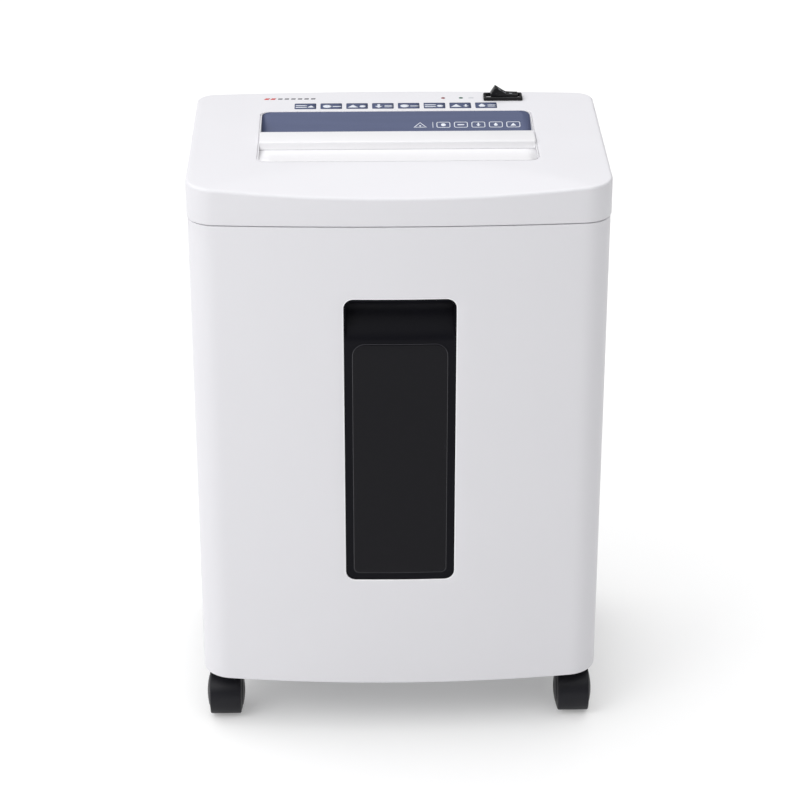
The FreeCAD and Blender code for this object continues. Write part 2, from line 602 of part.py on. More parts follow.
CAPACITOR_R = 15.0
CAPACITOR_Z = TRAY_Z + WALL + CAPACITOR_R + 1.5
CAPACITOR_Y = MOTOR_Y + 4


def run_capacitor():
    can = rod(CAPACITOR_R, (-100, CAPACITOR_Y, CAPACITOR_Z), (-46, CAPACITOR_Y, CAPACITOR_Z))
    return round_edges(can, 1.0, lambda x, y, z: x > -46.5 or x < -99.5)


def capacitor_clip():
    """Band round the capacitor with a foot on the tray's floor."""
    y, z, floor = CAPACITOR_Y, CAPACITOR_Z, TRAY_Z + WALL
    bore = CAPACITOR_R + RUN_CLEARANCE
    outer = bore + 1.2
    saddle = box(-80, -68, y - outer - 8, y + 6, floor, z)
    saddle = saddle.cut(box(-81, -67, y - outer - 9, y - outer + 1.5, floor + 1.6, z + 1))
    band = rod(outer, (-80, y, z), (-68, y, z)).fuse(saddle)
    return band.cut(rod(bore, (-81, y, z), (-67, y, z))).removeSplitter()


def paper_sensor():
    """Forked light sensor: one housing at each side of the slot, below the insert."""
    eyes = []
    for s in (-1, 1):
        y = SLOT_Y + s * (SLOT_WIDTH / 2 + SKIN + 0.4)
        a, b = sorted((y, y + s * 6))
        eyes.append(box(-5, 5, a, b, SLOT_BOTTOM + 6, SLOT_BOTTOM + 18))
    return eyes


def cord_gland():
    """Flanged bush in the rear wall that the mains lead goes in through."""
    y_wall = rear_y(GLAND_X + GLAND_R + 4)
    y_out = y_wall + 2.0
    flange = rod(GLAND_R + 4, (GLAND_X, y_wall + 0.1, GLAND_Z), (GLAND_X, y_out, GLAND_Z))
    flange = round_edges(flange, 0.8, lambda x, y, z: y > y_out - 0.01)
    neck = rod(GLAND_R, (GLAND_X, y_out - 19, GLAND_Z), (GLAND_X, y_out - 1, GLAND_Z))
    nut = rod(GLAND_R + 3, (GLAND_X, y_out - 18, GLAND_Z), (GLAND_X, y_out - 14, GLAND_Z))
    bore = rod(CORD_R, (GLAND_X, y_out - 20, GLAND_Z), (GLAND_X, y_out + 1, GLAND_Z))
    return flange.fuse([neck, nut]).cut(bore).removeSplitter()


# ---- cabinet ------------------------------------------------------------------------------------
DRAWER_EDGE = 47.5 - HALF_DEPTH    # the drawer front wraps round the corners as far as this
REAR_SPLIT = BODY_WIDTH / 2 - 36.75    # the rear panel lies between these
DECK_Z = BASE_Z + 28.0    # top of the base's walls, ribs and bosses
CASTER_X = BODY_WIDTH / 2 - 18.75
SOCKET_R = 6.2
STEM_R = 4.0


def cabinet_ring():
    return plan_ring(BODY_WIDTH, 0, WALL, BASE_Z, SEAM_Z + 10).common(seam_slab(SEAM_GAP))


def side_panel(side):
    """Side wall, wrapped round the rear corner, with a ledge inside that the tray rests on."""
    a, b = sorted((side * HEAD_WIDTH, side * REAR_SPLIT))
    keep = box(a, b, DRAWER_EDGE + SHADOW_GAP, HEAD_WIDTH, 0, TOP_Z)
    panel = cabinet_ring().common(keep)
    ledge = plan_ring(BODY_WIDTH, WALL - 0.2, 7.0, TRAY_Z - 4, TRAY_Z)
    a, b = sorted((side * HEAD_WIDTH, side * (BODY_WIDTH / 2 - 20)))
    ledge = ledge.common(box(a, b, DRAWER_EDGE + 10, REAR_SHAFT_Y + 40, 0, TOP_Z))
    panel = panel.fuse(ledge).removeSplitter()
    for x, y, direction in cabinet_screw_places():
        if direction[0] * side > 0:
            panel = panel.cut(blind_hole(x, y, direction))
    return panel


def cabinet_screw_places():
    """Screws from inside the base's wall out into the cabinet panels: x, y, direction."""
    x = BODY_WIDTH / 2 - WALL - FIT_GAP - SKIN
    places = [(s * x, y, (s, 0, 0)) for s in (-1, 1) for y in (-50.0, 60.0)]
    return places + [(s * 80.0, rear_y(84.0, WALL + FIT_GAP + SKIN), (0, 1, 0)) for s in (-1, 1)]


CABINET_SCREW_Z = BASE_Z + 16
CABINET_SCREW_R = 1.5
CABINET_SCREW_LENGTH = SKIN + FIT_GAP + WALL - 1.0


def blind_hole(x, y, direction, spare=0.3):
    end = CABINET_SCREW_LENGTH + spare
    dx, dy, dz = direction
    start = (x - 3 * dx, y - 3 * dy, CABINET_SCREW_Z)
    return rod(CABINET_SCREW_R + RUN_CLEARANCE, start, (x + end * dx, y + end * dy, CABINET_SCREW_Z))


def cabinet_screws():
    screws = []
    z = CABINET_SCREW_Z
    for x, y, (dx, dy, dz) in cabinet_screw_places():
        out = CABINET_SCREW_LENGTH
        shank = rod(CABINET_SCREW_R, (x, y, z), (x + out * dx, y + out * dy, z))
        screws.append(shank.fuse(rod(2.8, (x - 1.8 * dx, y - 1.8 * dy, z), (x, y, z))).removeSplitter())
    return screws


VENT_Z = (TRAY_Z - 3.0, TRAY_Z + 62.0)


def rear_panel():
    half = REAR_SPLIT - SHADOW_GAP
    keep = box(-half, half, 0, HEAD_WIDTH, 0, TOP_Z)
    panel = cabinet_ring().common(keep)
    slots = []
    for k in range(12):
        x = -44 + k * 8.0
        slots.append(box(x, x + 3.2, 100, 140, *VENT_Z))
    panel = panel.cut(Part.makeCompound(slots))
    for x, y, direction in cabinet_screw_places():
        if direction[1] > 0:
            panel = panel.cut(blind_hole(x, y, direction))
    return panel.cut(rod(GLAND_R + 0.1, (GLAND_X, 100, GLAND_Z), (GLAND_X, 140, GLAND_Z)))


def caster_places():
    """Swivel axes: name, x, y."""
    return [("front_left", -CASTER_X, CASTER_FRONT_Y), ("front_right", CASTER_X, CASTER_FRONT_Y),
            ("rear_left", -CASTER_X, CASTER_REAR_Y), ("rear_right", CASTER_X, CASTER_REAR_Y)]


CASTER_FRONT_Y = 54.5 - HALF_DEPTH
CASTER_REAR_Y = HALF_DEPTH - 35.5
RIB_X = 110.0


def base_tray():
    inset = WALL + FIT_GAP
    floor = plan_prism(BODY_WIDTH, inset, BASE_Z, BASE_Z + WALL)
    wall = plan_ring(BODY_WIDTH, inset, SKIN, BASE_Z, DECK_Z)
    tray = floor.fuse(wall)
    y0, y1 = front_y(RIB_X, inset + 1), rear_y(RIB_X, inset + 1)
    for s in (-1, 1):
        tray = tray.fuse(box(s * RIB_X - 5, s * RIB_X + 5, y0, y1, BASE_Z, DECK_Z))
        tray = tray.cut(box(s * RIB_X - 3, s * RIB_X + 3, y0 + 4, y1 - 4, BASE_Z - 1, DECK_Z - 3))
    for _, x, y in caster_places():
        tray = tray.fuse(rod(SOCKET_R + 3, (x, y, BASE_Z), (x, y, DECK_Z)))
    for _, x, y in caster_places():
        tray = tray.cut(rod(SOCKET_R, (x, y, BASE_Z - 1), (x, y, DECK_Z - 2)))
    for x, y, direction in cabinet_screw_places():
        tray = tray.cut(blind_hole(x, y, direction))
    return tray.removeSplitter()


def caster_sockets():
    sleeves = []
    for _, x, y in caster_places():
        sleeves.append(tube(SOCKET_R, STEM_R + RUN_CLEARANCE, (x, y, BASE_Z), (x, y, DECK_Z - 2)))
    return sleeves


RUNNER_H = 2.5


def runner(side):
    """Low-friction strip that the waste bin slides on."""
    inset = WALL + FIT_GAP
    y0, y1 = front_y(RIB_X, inset + 4), rear_y(RIB_X, inset + 4)
    strip = box(side * RIB_X - 4, side * RIB_X + 4, y0, y1, DECK_Z, DECK_Z + RUNNER_H)
    return round_edges(strip, 0.8, lambda x, y, z: abs(z - DECK_Z - RUNNER_H) < 0.01)


# ---- drawer -------------------------------------------------------------------------------------
BIN_Z0 = DECK_Z + RUNNER_H + 0.4
BIN_Z1 = 386.0
BIN_HALF = BODY_WIDTH / 2 - 11.75
BIN_FRONT = 19.5 - HALF_DEPTH
BIN_REAR = HALF_DEPTH - 21.5
BIN_WALL = 2.2
WINDOW_W = 95.2
WINDOW_Z = (BASE_Z + 105.9, SEAM_Z - 62.6)
WINDOW_R = 8.5
POCKET_Z = (WINDOW_Z[1] - 39.4, WINDOW_Z[1] - 2.4)    # finger pocket above the pane
POCKET_DEPTH = 14.0
PANE_HALF = WINDOW_W / 2 - 6.9
PANE_Z = (WINDOW_Z[0] + 6.8, POCKET_Z[0] - 1.4)
PANE_R_TOP = 11.5
PANE_R_BOTTOM = 5.0
PANE_SEAT = 4.0
FACE_SINK = 1.2
SIGHT_HALF = PANE_HALF - 4
SIGHT_Z = (PANE_Z[0] + 4, PANE_Z[1] - 18)


def window_prism(gap, y0, y1):
    half = WINDOW_W / 2 - gap
    block = box(-half, half, y0, y1, WINDOW_Z[0] + gap, WINDOW_Z[1] - gap)
    edges = [e for e in block.Edges if abs(e.Vertexes[0].Point.y - e.Vertexes[-1].Point.y) > 1]
    return block.makeFillet(WINDOW_R - gap, edges)


def front_panel():
    """Bowed drawer front that wraps round both front corners."""
    shell = plan_ring(BODY_WIDTH, 0, WALL, BASE_Z, SEAM_Z + 10)
    shell = shell.common(box(-HEAD_WIDTH, HEAD_WIDTH, -HEAD_WIDTH, DRAWER_EDGE, 0, TOP_Z))
    shell = shell.common(seam_slab(SEAM_GAP))
    shell = shell.cut(window_prism(0, -HALF_DEPTH - 5, -HALF_DEPTH + 20))
    for x, z in panel_screw_places():
        y = front_y(x, WALL)
        boss = rod(4.0, (x, y - 1.0, z), (x, BIN_FRONT, z)).cut(plan_prism_outside())
        shell = shell.fuse(boss)
        shell = shell.cut(rod(1.6, (x, y + 1.5, z), (x, BIN_FRONT + 1, z)))
    return shell.removeSplitter()


def plan_prism_outside():
    """All that lies within the drawer front's outer half, to trim bosses flush inside the shell."""
    block = box(-HEAD_WIDTH, HEAD_WIDTH, -HEAD_WIDTH, 0, 0, TOP_Z)
    return block.cut(plan_prism(BODY_WIDTH, WALL / 2, 0, TOP_Z))


def panel_screw_places():
    return [(s * 130.0, z) for s in (-1, 1) for z in (100.0, 240.0, 370.0)]


def window_moulding():
    """Dark moulding in the drawer front, with a scooped finger pocket above the pane."""
    back_y = BIN_FRONT - 0.5
    skin = plan_prism(BODY_WIDTH, FACE_SINK, WINDOW_Z[0] - 5, WINDOW_Z[1] + 5)
    block = window_prism(0.3, -HALF_DEPTH, back_y).common(skin)
    pane_back = -HALF_DEPTH + PANE_SEAT
    sill = PANE_Z[1] - 14
    half = WINDOW_W / 2 - 2.6
    hollow = box(-half, half, pane_back + 2.5, back_y + 1, WINDOW_Z[0] + 3, sill - 3)
    sight = box(-SIGHT_HALF, SIGHT_HALF, -HALF_DEPTH - 2, back_y + 1, *SIGHT_Z)
    block = block.cut(hollow).cut(sight).cut(pane_prism(0, -HALF_DEPTH - 2, pane_back))
    half_height = (POCKET_Z[1] - POCKET_Z[0]) / 2
    radius = (half_height ** 2 + POCKET_DEPTH ** 2) / (2 * POCKET_DEPTH)
    y, z = -HALF_DEPTH + POCKET_DEPTH - radius, (POCKET_Z[0] + POCKET_Z[1]) / 2
    scoop = rod(radius, (-WINDOW_W, y, z), (WINDOW_W, y, z)).common(window_prism(2.2, -HALF_DEPTH - 5, 0))
    hook = box(-34, 34, -HALF_DEPTH + 7.0, -HALF_DEPTH + POCKET_DEPTH - 1.5, sill + 2, z)
    return block.cut(scoop).cut(hook).removeSplitter()


def pane_prism(gap, y0, y1):
    """Outline of the pane: large radii at the top corners, small ones below."""
    block = box(-PANE_HALF + gap, PANE_HALF - gap, y0, y1, PANE_Z[0] + gap, PANE_Z[1] - gap)
    for radius, top in ((PANE_R_TOP, True), (PANE_R_BOTTOM, False)):
        corner_z = PANE_Z[1] - gap if top else PANE_Z[0] + gap
        block = round_edges(block, radius - gap, lambda x, y, z: abs(abs(x) - PANE_HALF + gap) < 0.01
                            and abs(z - corner_z) < 0.01)
    return block


def window_pane():
    """Smoked pane over the bin, standing a little proud of the moulding."""
    gap = 0.15
    block = pane_prism(gap, -HALF_DEPTH - 2, -HALF_DEPTH + PANE_SEAT - 0.1)
    return block.common(plan_prism(BODY_WIDTH, 0.3, PANE_Z[0] - 5, PANE_Z[1] + 5))


def bin_tub():
    """Open-topped waste bin with a sight opening behind the pane."""
    outer = box(-BIN_HALF, BIN_HALF, BIN_FRONT, BIN_REAR, BIN_Z0, BIN_Z1)
    outer = outer.makeFillet(14.0, vertical_edges(outer))
    w = BIN_WALL
    inner = box(-BIN_HALF + w, BIN_HALF - w, BIN_FRONT + w, BIN_REAR - w, BIN_Z0 + w, BIN_Z1 + 1)
    inner = inner.makeFillet(14.0 - w, vertical_edges(inner))
    rim = rounded_box(-BIN_HALF - 4, BIN_HALF + 4, BIN_FRONT + 0.01, BIN_REAR + 4, BIN_Z1 - 2.5, BIN_Z1, 14.0)
    tub = outer.fuse(rim).cut(inner)
    tub = tub.cut(box(-SIGHT_HALF, SIGHT_HALF, BIN_FRONT - 1, BIN_FRONT + w + 1, *SIGHT_Z))
    for x, z in panel_screw_places():
        tub = tub.cut(rod(1.9, (x, BIN_FRONT - 1, z), (x, BIN_FRONT + w + 1, z)))
    return tub.removeSplitter()


def drawer_screws():
    screws = []
    y = BIN_FRONT + BIN_WALL
    for x, z in panel_screw_places():
        shank = rod(1.55, (x, BIN_FRONT - 4.0, z), (x, y, z))
        screws.append(shank.fuse(rod(3.4, (x, y, z), (x, y + 2.2, z))).removeSplitter())
    return screws


def bin_magnet():
    return box(-8, 8, BIN_REAR + 0.1, BIN_REAR + 3.6, BIN_Z1 - 14, BIN_Z1 - 3)


def reed_sensor():
    """Sealed reed switch under the tray, which the bin's magnet closes."""
    return box(-9, 9, BIN_REAR - 8, BIN_REAR + 4, TRAY_Z - 7.4, TRAY_Z)


# ---- casters ------------------------------------------------------------------------------------
WHEEL_R = 20.0
TRAIL = 14.0
WEB_HALF = 5.6
WHEEL_IN = 6.0
TREAD_OUT = 13.8
DOME_OUT = 17.1
AXLE_R = 2.5
COWL_IN = WHEEL_R + 0.7
COWL_OUT = COWL_IN + 1.5


def caster_hood(x, y):
    """Web that holds the axle and the stem, with a cowl over both wheels. y is the swivel axis."""
    ya = y - TRAIL
    cowl = tube(COWL_OUT, COWL_IN, (x - TREAD_OUT, ya, WHEEL_R), (x + TREAD_OUT, ya, WHEEL_R))
    cowl = cowl.cut(box(x - 20, x + 20, ya - 30, ya + 30, -10, WHEEL_R - 15.0))
    cowl = cowl.cut(box(x - 20, x + 20, ya + 11, ya + 30, -10, WHEEL_R + 30))
    cowl = cowl.cut(box(x - 20, x + 20, ya - 2, ya + 30, -10, WHEEL_R))
    web = rod(COWL_IN + 0.2, (x - WEB_HALF, ya, WHEEL_R), (x + WEB_HALF, ya, WHEEL_R))
    web = web.cut(box(x - 20, x + 20, ya - 30, ya + 30, -10, WHEEL_R - 8))
    boss = box(x - WEB_HALF, x + WEB_HALF, ya, y + 6.5, WHEEL_R - 8, BASE_Z - 2.6)
    collar = rod(8.5, (x, y, BASE_Z - 3.2), (x, y, BASE_Z - 0.4))
    hood = cowl.fuse([web, boss, collar])
    hood = hood.cut(rod(STEM_R, (x, y, WHEEL_R - 2), (x, y, BASE_Z + 1)))
    return hood.cut(rod(AXLE_R, (x - 20, ya, WHEEL_R), (x + 20, ya, WHEEL_R))).removeSplitter()


def caster_stem(x, y):
    stem = rod(STEM_R, (x, y, WHEEL_R - 2), (x, y, DECK_Z - 3))
    return stem


def caster_axle(x, y):
    ya = y - TRAIL
    return rod(AXLE_R, (x - TREAD_OUT + 1, ya, WHEEL_R), (x + TREAD_OUT - 1, ya, WHEEL_R))


def caster_wheel(x, y, side):
    """Turned wheel with a flat tread and a spherical outer face."""
    edge = 1.2
    rim = WHEEL_R - edge
    rise = DOME_OUT - TREAD_OUT
    dome_r = (rim ** 2 + rise ** 2) / (2 * rise)
    points = [V(WHEEL_IN, 0, 0), V(WHEEL_IN, rim, 0), V(WHEEL_IN + edge, WHEEL_R, 0),
              V(TREAD_OUT - edge, WHEEL_R, 0), V(TREAD_OUT, rim, 0)]
    halfway = V(DOME_OUT - dome_r + math.sqrt(dome_r ** 2 - rim ** 2 / 4), rim / 2, 0)
    dome = Part.Arc(points[-1], halfway, V(DOME_OUT, 0, 0)).toShape()
    outline = Part.Wire(Part.makePolygon(points).Edges + [dome, Part.makeLine(V(DOME_OUT, 0, 0), points[0])])
    wheel = Part.Face(outline).revolve(V(0, 0, 0), V(1, 0, 0), 360)
    wheel = wheel.cut(rod(AXLE_R + RUN_CLEARANCE, (0, 0, 0), (TREAD_OUT - 0.8, 0, 0)))
    if side < 0:
        wheel.rotate(V(0, 0, 0), V(0, 0, 1), 180)
    return wheel.translated(V(x, y - TRAIL, WHEEL_R))


# ---- assembly -----------------------------------------------------------------------------------
def build():
    node("head_cover", head_cover())
    node("throat_insert", throat_insert())
    node("guide_bar", guide_bar())
    node("guide_label", guide_label())
    node("switch_housing", switch_housing())
    node("rocker_button", rocker_button())
    node("red_lamp_lens", lamp_lens(LAMP_X[0]))
    node("green_lamp_lens", lamp_lens(LAMP_X[1]))
    node("control_board", control_board())
    node("mechanism_tray", mechanism_tray())
    node("left_side_plate", side_plate(-1))
    node("right_side_plate", side_plate(1))
    node("tie_rods", *tie_rods())
    node("shaft_bushes", *shaft_bushes())
    first_disc = -DISC_COUNT * DISC_PITCH / 2
    half_step = DISC_PITCH / 2
    node("front_cutter", cutter(front_centre, first_disc, 23).fuse(gear_seat(front_centre, SYNC_X[1])))
    rear = cutter(rear_centre, first_disc + half_step, -23).fuse(gear_seat(rear_centre, DRIVE_X[1]))
    node("rear_cutter", rear)
    node("front_stripper_comb", stripper_comb(front_centre, first_disc, -1))
    node("rear_stripper_comb", stripper_comb(rear_centre, first_disc + half_step, 1))
    rear_phase = 0.0
    front_phase = mesh_phase(rear_centre, SYNC_TEETH, rear_phase, front_centre, SYNC_TEETH)
    node("rear_sync_gear", spur_gear(SYNC_TEETH, SYNC_MODULE, *SYNC_X, rear_centre, rear_phase, SEAT_R))
    node("front_sync_gear", spur_gear(SYNC_TEETH, SYNC_MODULE, *SYNC_X, front_centre, front_phase, SEAT_R))
    node("drive_gear", spur_gear(DRIVE_TEETH, DRIVE_MODULE, *DRIVE_X, rear_centre, rear_phase, SEAT_R))
    pinion_phase = mesh_phase(rear_centre, DRIVE_TEETH, rear_phase, idler_centre, IDLER_PINION_TEETH)
    bore = IDLER_AXLE_R + RUN_CLEARANCE
    idler = spur_gear(IDLER_PINION_TEETH, DRIVE_MODULE, *DRIVE_X, idler_centre, pinion_phase, bore)
    hub = tube(7.0, bore, (DRIVE_X[1], *idler_centre), (FIRST_X[0], *idler_centre))
    wheel = spur_gear(IDLER_TEETH, FIRST_MODULE, *FIRST_X, idler_centre, 0.0, bore)
    node("idler_gear", idler.fuse([hub, wheel]).removeSplitter())
    node("idler_axle", rod(IDLER_AXLE_R, (PLATE_X, *idler_centre), (COVER_X + COVER_T, *idler_centre)))
    motor_phase = mesh_phase(idler_centre, IDLER_TEETH, 0.0, motor_centre, MOTOR_PINION_TEETH)
    stack, bells, rotor = motor()
    node("motor_stack", stack)
    node("motor_end_bells", *bells)
    pinion = spur_gear(MOTOR_PINION_TEETH, FIRST_MODULE, *FIRST_X, motor_centre, motor_phase, 1.0)
    node("motor_rotor", rotor.fuse(pinion).removeSplitter())
    node("gear_cover", gear_cover())
    node("spacer_posts", *spacer_posts())
    node("mechanism_screws", *mechanism_screws())
    node("foot_brackets", *foot_brackets())
    node("run_capacitor", run_capacitor())
    node("capacitor_clip", capacitor_clip())
    node("paper_sensor", *paper_sensor())
    node("reed_sensor", reed_sensor())
    node("cord_gland", cord_gland())
    node("left_side_panel", side_panel(-1))
    node("right_side_panel", side_panel(1))
    node("rear_panel", rear_panel())
    node("base_tray", base_tray())
    node("cabinet_screws", *cabinet_screws())
    node("caster_sockets", *caster_sockets())
    node("runners", runner(-1), runner(1))
    node("front_panel", front_panel())
    node("window_moulding", window_moulding())
    node("window_pane", window_pane())
    node("bin_tub", bin_tub())
    node("drawer_screws", *drawer_screws())
    node("bin_magnet", bin_magnet())
    for name, x, y in caster_places():
        node(f"{name}_caster_fork", caster_hood(x, y), caster_stem(x, y), caster_axle(x, y))
        node(f"{name}_left_wheel", caster_wheel(x, y, -1))
        node(f"{name}_right_wheel", caster_wheel(x, y, 1))


build()
os.makedirs("parts", exist_ok=True)
for name, shape in NODES.items():
    shape.exportStep(f"parts/{name}.step")
print(len(NODES), "nodes")
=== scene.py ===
"""Free-standing paper shredder: the visible pieces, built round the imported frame, in metres."""

import bmesh
import bpy
import json
import math
import numpy as np
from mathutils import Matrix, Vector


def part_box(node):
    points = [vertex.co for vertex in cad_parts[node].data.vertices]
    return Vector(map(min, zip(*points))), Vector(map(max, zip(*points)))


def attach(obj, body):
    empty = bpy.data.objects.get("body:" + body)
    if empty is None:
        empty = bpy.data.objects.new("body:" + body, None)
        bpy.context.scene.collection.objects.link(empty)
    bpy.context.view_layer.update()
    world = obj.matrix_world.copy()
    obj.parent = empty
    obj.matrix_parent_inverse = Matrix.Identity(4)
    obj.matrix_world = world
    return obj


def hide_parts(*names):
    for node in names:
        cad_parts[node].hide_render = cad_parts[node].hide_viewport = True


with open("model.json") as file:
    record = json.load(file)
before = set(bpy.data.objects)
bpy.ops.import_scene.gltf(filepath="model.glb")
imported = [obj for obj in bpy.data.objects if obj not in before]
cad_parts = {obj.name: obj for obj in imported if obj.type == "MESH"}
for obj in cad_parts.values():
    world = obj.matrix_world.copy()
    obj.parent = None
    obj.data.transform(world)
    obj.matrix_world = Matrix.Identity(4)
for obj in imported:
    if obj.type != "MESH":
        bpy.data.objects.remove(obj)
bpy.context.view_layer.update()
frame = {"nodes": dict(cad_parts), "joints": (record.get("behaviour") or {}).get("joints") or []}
nodes = frame["nodes"]
MM = 0.001


# ---- Base tray, slide runners and caster sockets ------------------------------------------------
# A ribbed polypropylene tray closes the underside. Two nylon strips on its walls carry the bin, and
# a nylon sleeve in each corner boss takes a caster's stem. Their shapes are the design's own.

class Link:
    """A node socket that arithmetic works on: each operator adds the Math node it stands for."""

    def __init__(self, paint, socket):
        self.paint = paint
        self.socket = socket

    def math(self, operation, a, b):
        return self.paint.node("ShaderNodeMath", {"operation": operation}, {0: a, 1: b})

    def __add__(self, other):
        return self.math("ADD", self, other)

    def __radd__(self, other):
        return self.math("ADD", other, self)

    def __sub__(self, other):
        return self.math("SUBTRACT", self, other)

    def __rsub__(self, other):
        return self.math("SUBTRACT", other, self)

    def __mul__(self, other):
        return self.math("MULTIPLY", self, other)

    def __rmul__(self, other):
        return self.math("MULTIPLY", other, self)

    def __gt__(self, other):
        return self.math("GREATER_THAN", self, other)


class Paint:
    """A material being built. node() adds any node, feed() sets or links one of its sockets."""

    def __init__(self, name):
        self.material = bpy.data.materials.new(name)
        self.material.use_nodes = True
        self.tree = self.material.node_tree
        self.shader = self.tree.nodes["Principled BSDF"]

    def feed(self, socket, value):
        if isinstance(value, Link):
            self.tree.links.new(value.socket, socket)
        elif socket.type == "RGBA":
            socket.default_value = (*value, 1.0)
        else:
            socket.default_value = value

    def node(self, kind, settings, inputs, output=0):
        made = self.tree.nodes.new(kind)
        for key, value in settings.items():
            setattr(made, key, value)
        for key, value in inputs.items():
            self.feed(made.inputs[key], value)
        return Link(self, made.outputs[output])

    def mix(self, factor, a, b):
        return self.node("ShaderNodeMix", {"data_type": "RGBA"}, {0: factor, 6: a, 7: b}, 2)

    def noise(self, size, detail=2.0, stretch=(1.0, 1.0, 1.0)):
        """Noise whose lumps are size metres across, drawn out along the axes where stretch is under 1."""
        place = self.node("ShaderNodeTexCoord", {}, {}, "Object")
        place = self.node("ShaderNodeVectorMath", {"operation": "MULTIPLY"}, {0: place, 1: stretch})
        return self.node("ShaderNodeTexNoise", {}, {"Vector": place, "Scale": 1 / size, "Detail": detail})

    def bump(self, height, depth, under=None):
        inputs = {"Height": height, "Distance": depth}
        if under is not None:
            inputs["Normal"] = under
        return self.node("ShaderNodeBump", {}, inputs)

    def surface(self, **inputs):
        for key, value in inputs.items():
            self.feed(self.shader.inputs[key.replace("_", " ")], value)
        return self.material


def moulded(name, colour, roughness, grain=0.4 * MM, depth=0.010 * MM, drift=0.03, coat=0.0, gloss=0.5):
    """Injection-moulded plastic: colour that drifts slowly, eroded grain, and gloss in soft patches."""
    paint = Paint(name)
    low = [c * (1 - drift) for c in colour]
    high = [min(1.0, c * (1 + drift)) for c in colour]
    pits = paint.noise(grain)
    patches = paint.noise(28 * MM, 3.0)
    swirl = paint.noise(0.11)
    return paint.surface(
        Base_Color=paint.mix(swirl * 0.8 + pits * 0.2, low, high),
        Roughness=roughness - 0.07 + patches * 0.10 + pits * 0.04,
        Normal=paint.bump(pits, depth, paint.bump(patches, 0.02 * MM)),
        Coat_Weight=coat,
        Specular_IOR_Level=gloss)


def dress(material, *names):
    """Gives CAD nodes their finish."""
    for name in names:
        for slot in nodes[name].material_slots:
            slot.material = material


inner_grey = moulded("inner_grey", (0.23, 0.235, 0.25), 0.52, 0.7 * MM, 0.03 * MM, 0.06)
natural_nylon = moulded("natural_nylon", (0.70, 0.67, 0.58), 0.45, 0.5 * MM, 0.012 * MM, 0.05)
dress(inner_grey, "base_tray", "mechanism_tray")
dress(natural_nylon, "runners", "caster_sockets", "front_stripper_comb", "rear_stripper_comb", "idler_gear")


# ---- Casters ------------------------------------------------------------------------------------
# Each is a glass-filled nylon hood on a steel stem, with two hard wheels that turn on one axle. The
# hood wraps the front and top of both wheels, and the wheels' domed faces stand out at its sides.

def quads(rows, columns, wrap_rows=False, wrap_columns=False):
    """Corner numbers of the four-sided faces between neighbouring points of a rows by columns grid."""
    i = np.arange(rows if wrap_rows else rows - 1)[:, None]
    j = np.arange(columns if wrap_columns else columns - 1)[None, :]
    after, beside = (i + 1) % rows, (j + 1) % columns
    corners = [i * columns + j, i * columns + beside, after * columns + beside, after * columns + j]
    return np.stack([np.broadcast_to(c, (i.size, j.size)) for c in corners], -1).reshape(-1, 4)


def skin(grid, wrap_rows=False, wrap_columns=False, caps=False, keep=None):
    """Points and faces of a grid of places. caps closes the first and last rows. keep leaves faces out."""
    rows, columns = grid.shape[:2]
    faces = quads(rows, columns, wrap_rows, wrap_columns)
    if keep is not None:
        faces = faces[keep.reshape(-1)]
    faces = faces.tolist()
    if caps:
        faces += [list(range(columns))[::-1], list(range((rows - 1) * columns, rows * columns))]
    return grid.reshape(-1, 3), faces


def piece(name, skins, material, body, stands_for=(), facing=None, wall=0.0, bevel=0.0, sharp=38):
    """Joins skins into one object that rides on its body. A closed skin's faces are turned outwards. An
    open one is turned to facing, and gets its wall on the other side."""
    points, faces = [], []
    for places, corners in skins:
        start = sum(len(p) for p in points)
        points.append(places)
        faces += [[start + c for c in face] for face in corners]
    mesh = bpy.data.meshes.new(name)
    mesh.from_pydata(np.concatenate(points).tolist(), [], faces)
    work = bmesh.new()
    work.from_mesh(mesh)
    bmesh.ops.remove_doubles(work, verts=work.verts, dist=0.002 * MM)
    if facing is None:
        bmesh.ops.recalc_face_normals(work, faces=work.faces)
    else:
        work.normal_update()
        total = sum(face.normal.dot(facing) * face.calc_area() for face in work.faces)
        if total < 0:
            bmesh.ops.reverse_faces(work, faces=work.faces)
    work.to_mesh(mesh)
    work.free()
    mesh.shade_smooth()
    mesh.set_sharp_from_angle(angle=math.radians(sharp))
    made = bpy.data.objects.new(name, mesh)
    bpy.context.scene.collection.objects.link(made)
    mesh.materials.append(material)
    if wall:
        solid = made.modifiers.new("wall", "SOLIDIFY")
        solid.thickness = wall
        solid.offset = -1.0
        solid.use_even_offset = True
    if bevel:
        round_over = made.modifiers.new("edges", "BEVEL")
        round_over.width = bevel
        round_over.segments = 3
        round_over.limit_method = "ANGLE"
        round_over.angle_limit = math.radians(50)
        round_over.harden_normals = True
    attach(made, body)
    if stands_for:
        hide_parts(*stands_for)
    return made


def turned(profile, centre, axis="X", count=64):
    """A lathe-turned skin: each (along, radius) of the profile becomes a circle about an axis through
    centre, at the angles 2 pi k / count."""
    along, radius = np.array(profile, float).T
    angle = np.linspace(0, 2 * math.pi, count, endpoint=False)[:, None]
    flat = np.broadcast_to(along, (count, along.size))
    round_a, round_b = radius * np.cos(angle), radius * np.sin(angle)
    order = {"X": (flat, round_a, round_b), "Y": (round_b, flat, round_a), "Z": (round_a, round_b, flat)}
    return skin(np.stack(order[axis], -1) + np.array(centre), wrap_rows=True)


def arc(centre, radius, start, end, count):
    """Points at even angles, in degrees, on a circle about centre."""
    angle = np.radians(np.linspace(start, end, count))
    return np.stack([centre[0] + radius * np.cos(angle), centre[1] + radius * np.sin(angle)], -1)


WHEEL_R = 20.0
WHEEL_IN = 6.0
TREAD_OUT = 13.8
DOME_OUT = 17.1
AXLE_R = 2.5
STEM_R = 4.0
HOOD_R = 22.2
HOOD_HALF = 14.1
HOOD_WALL = 1.5
TRAIL = 14.0

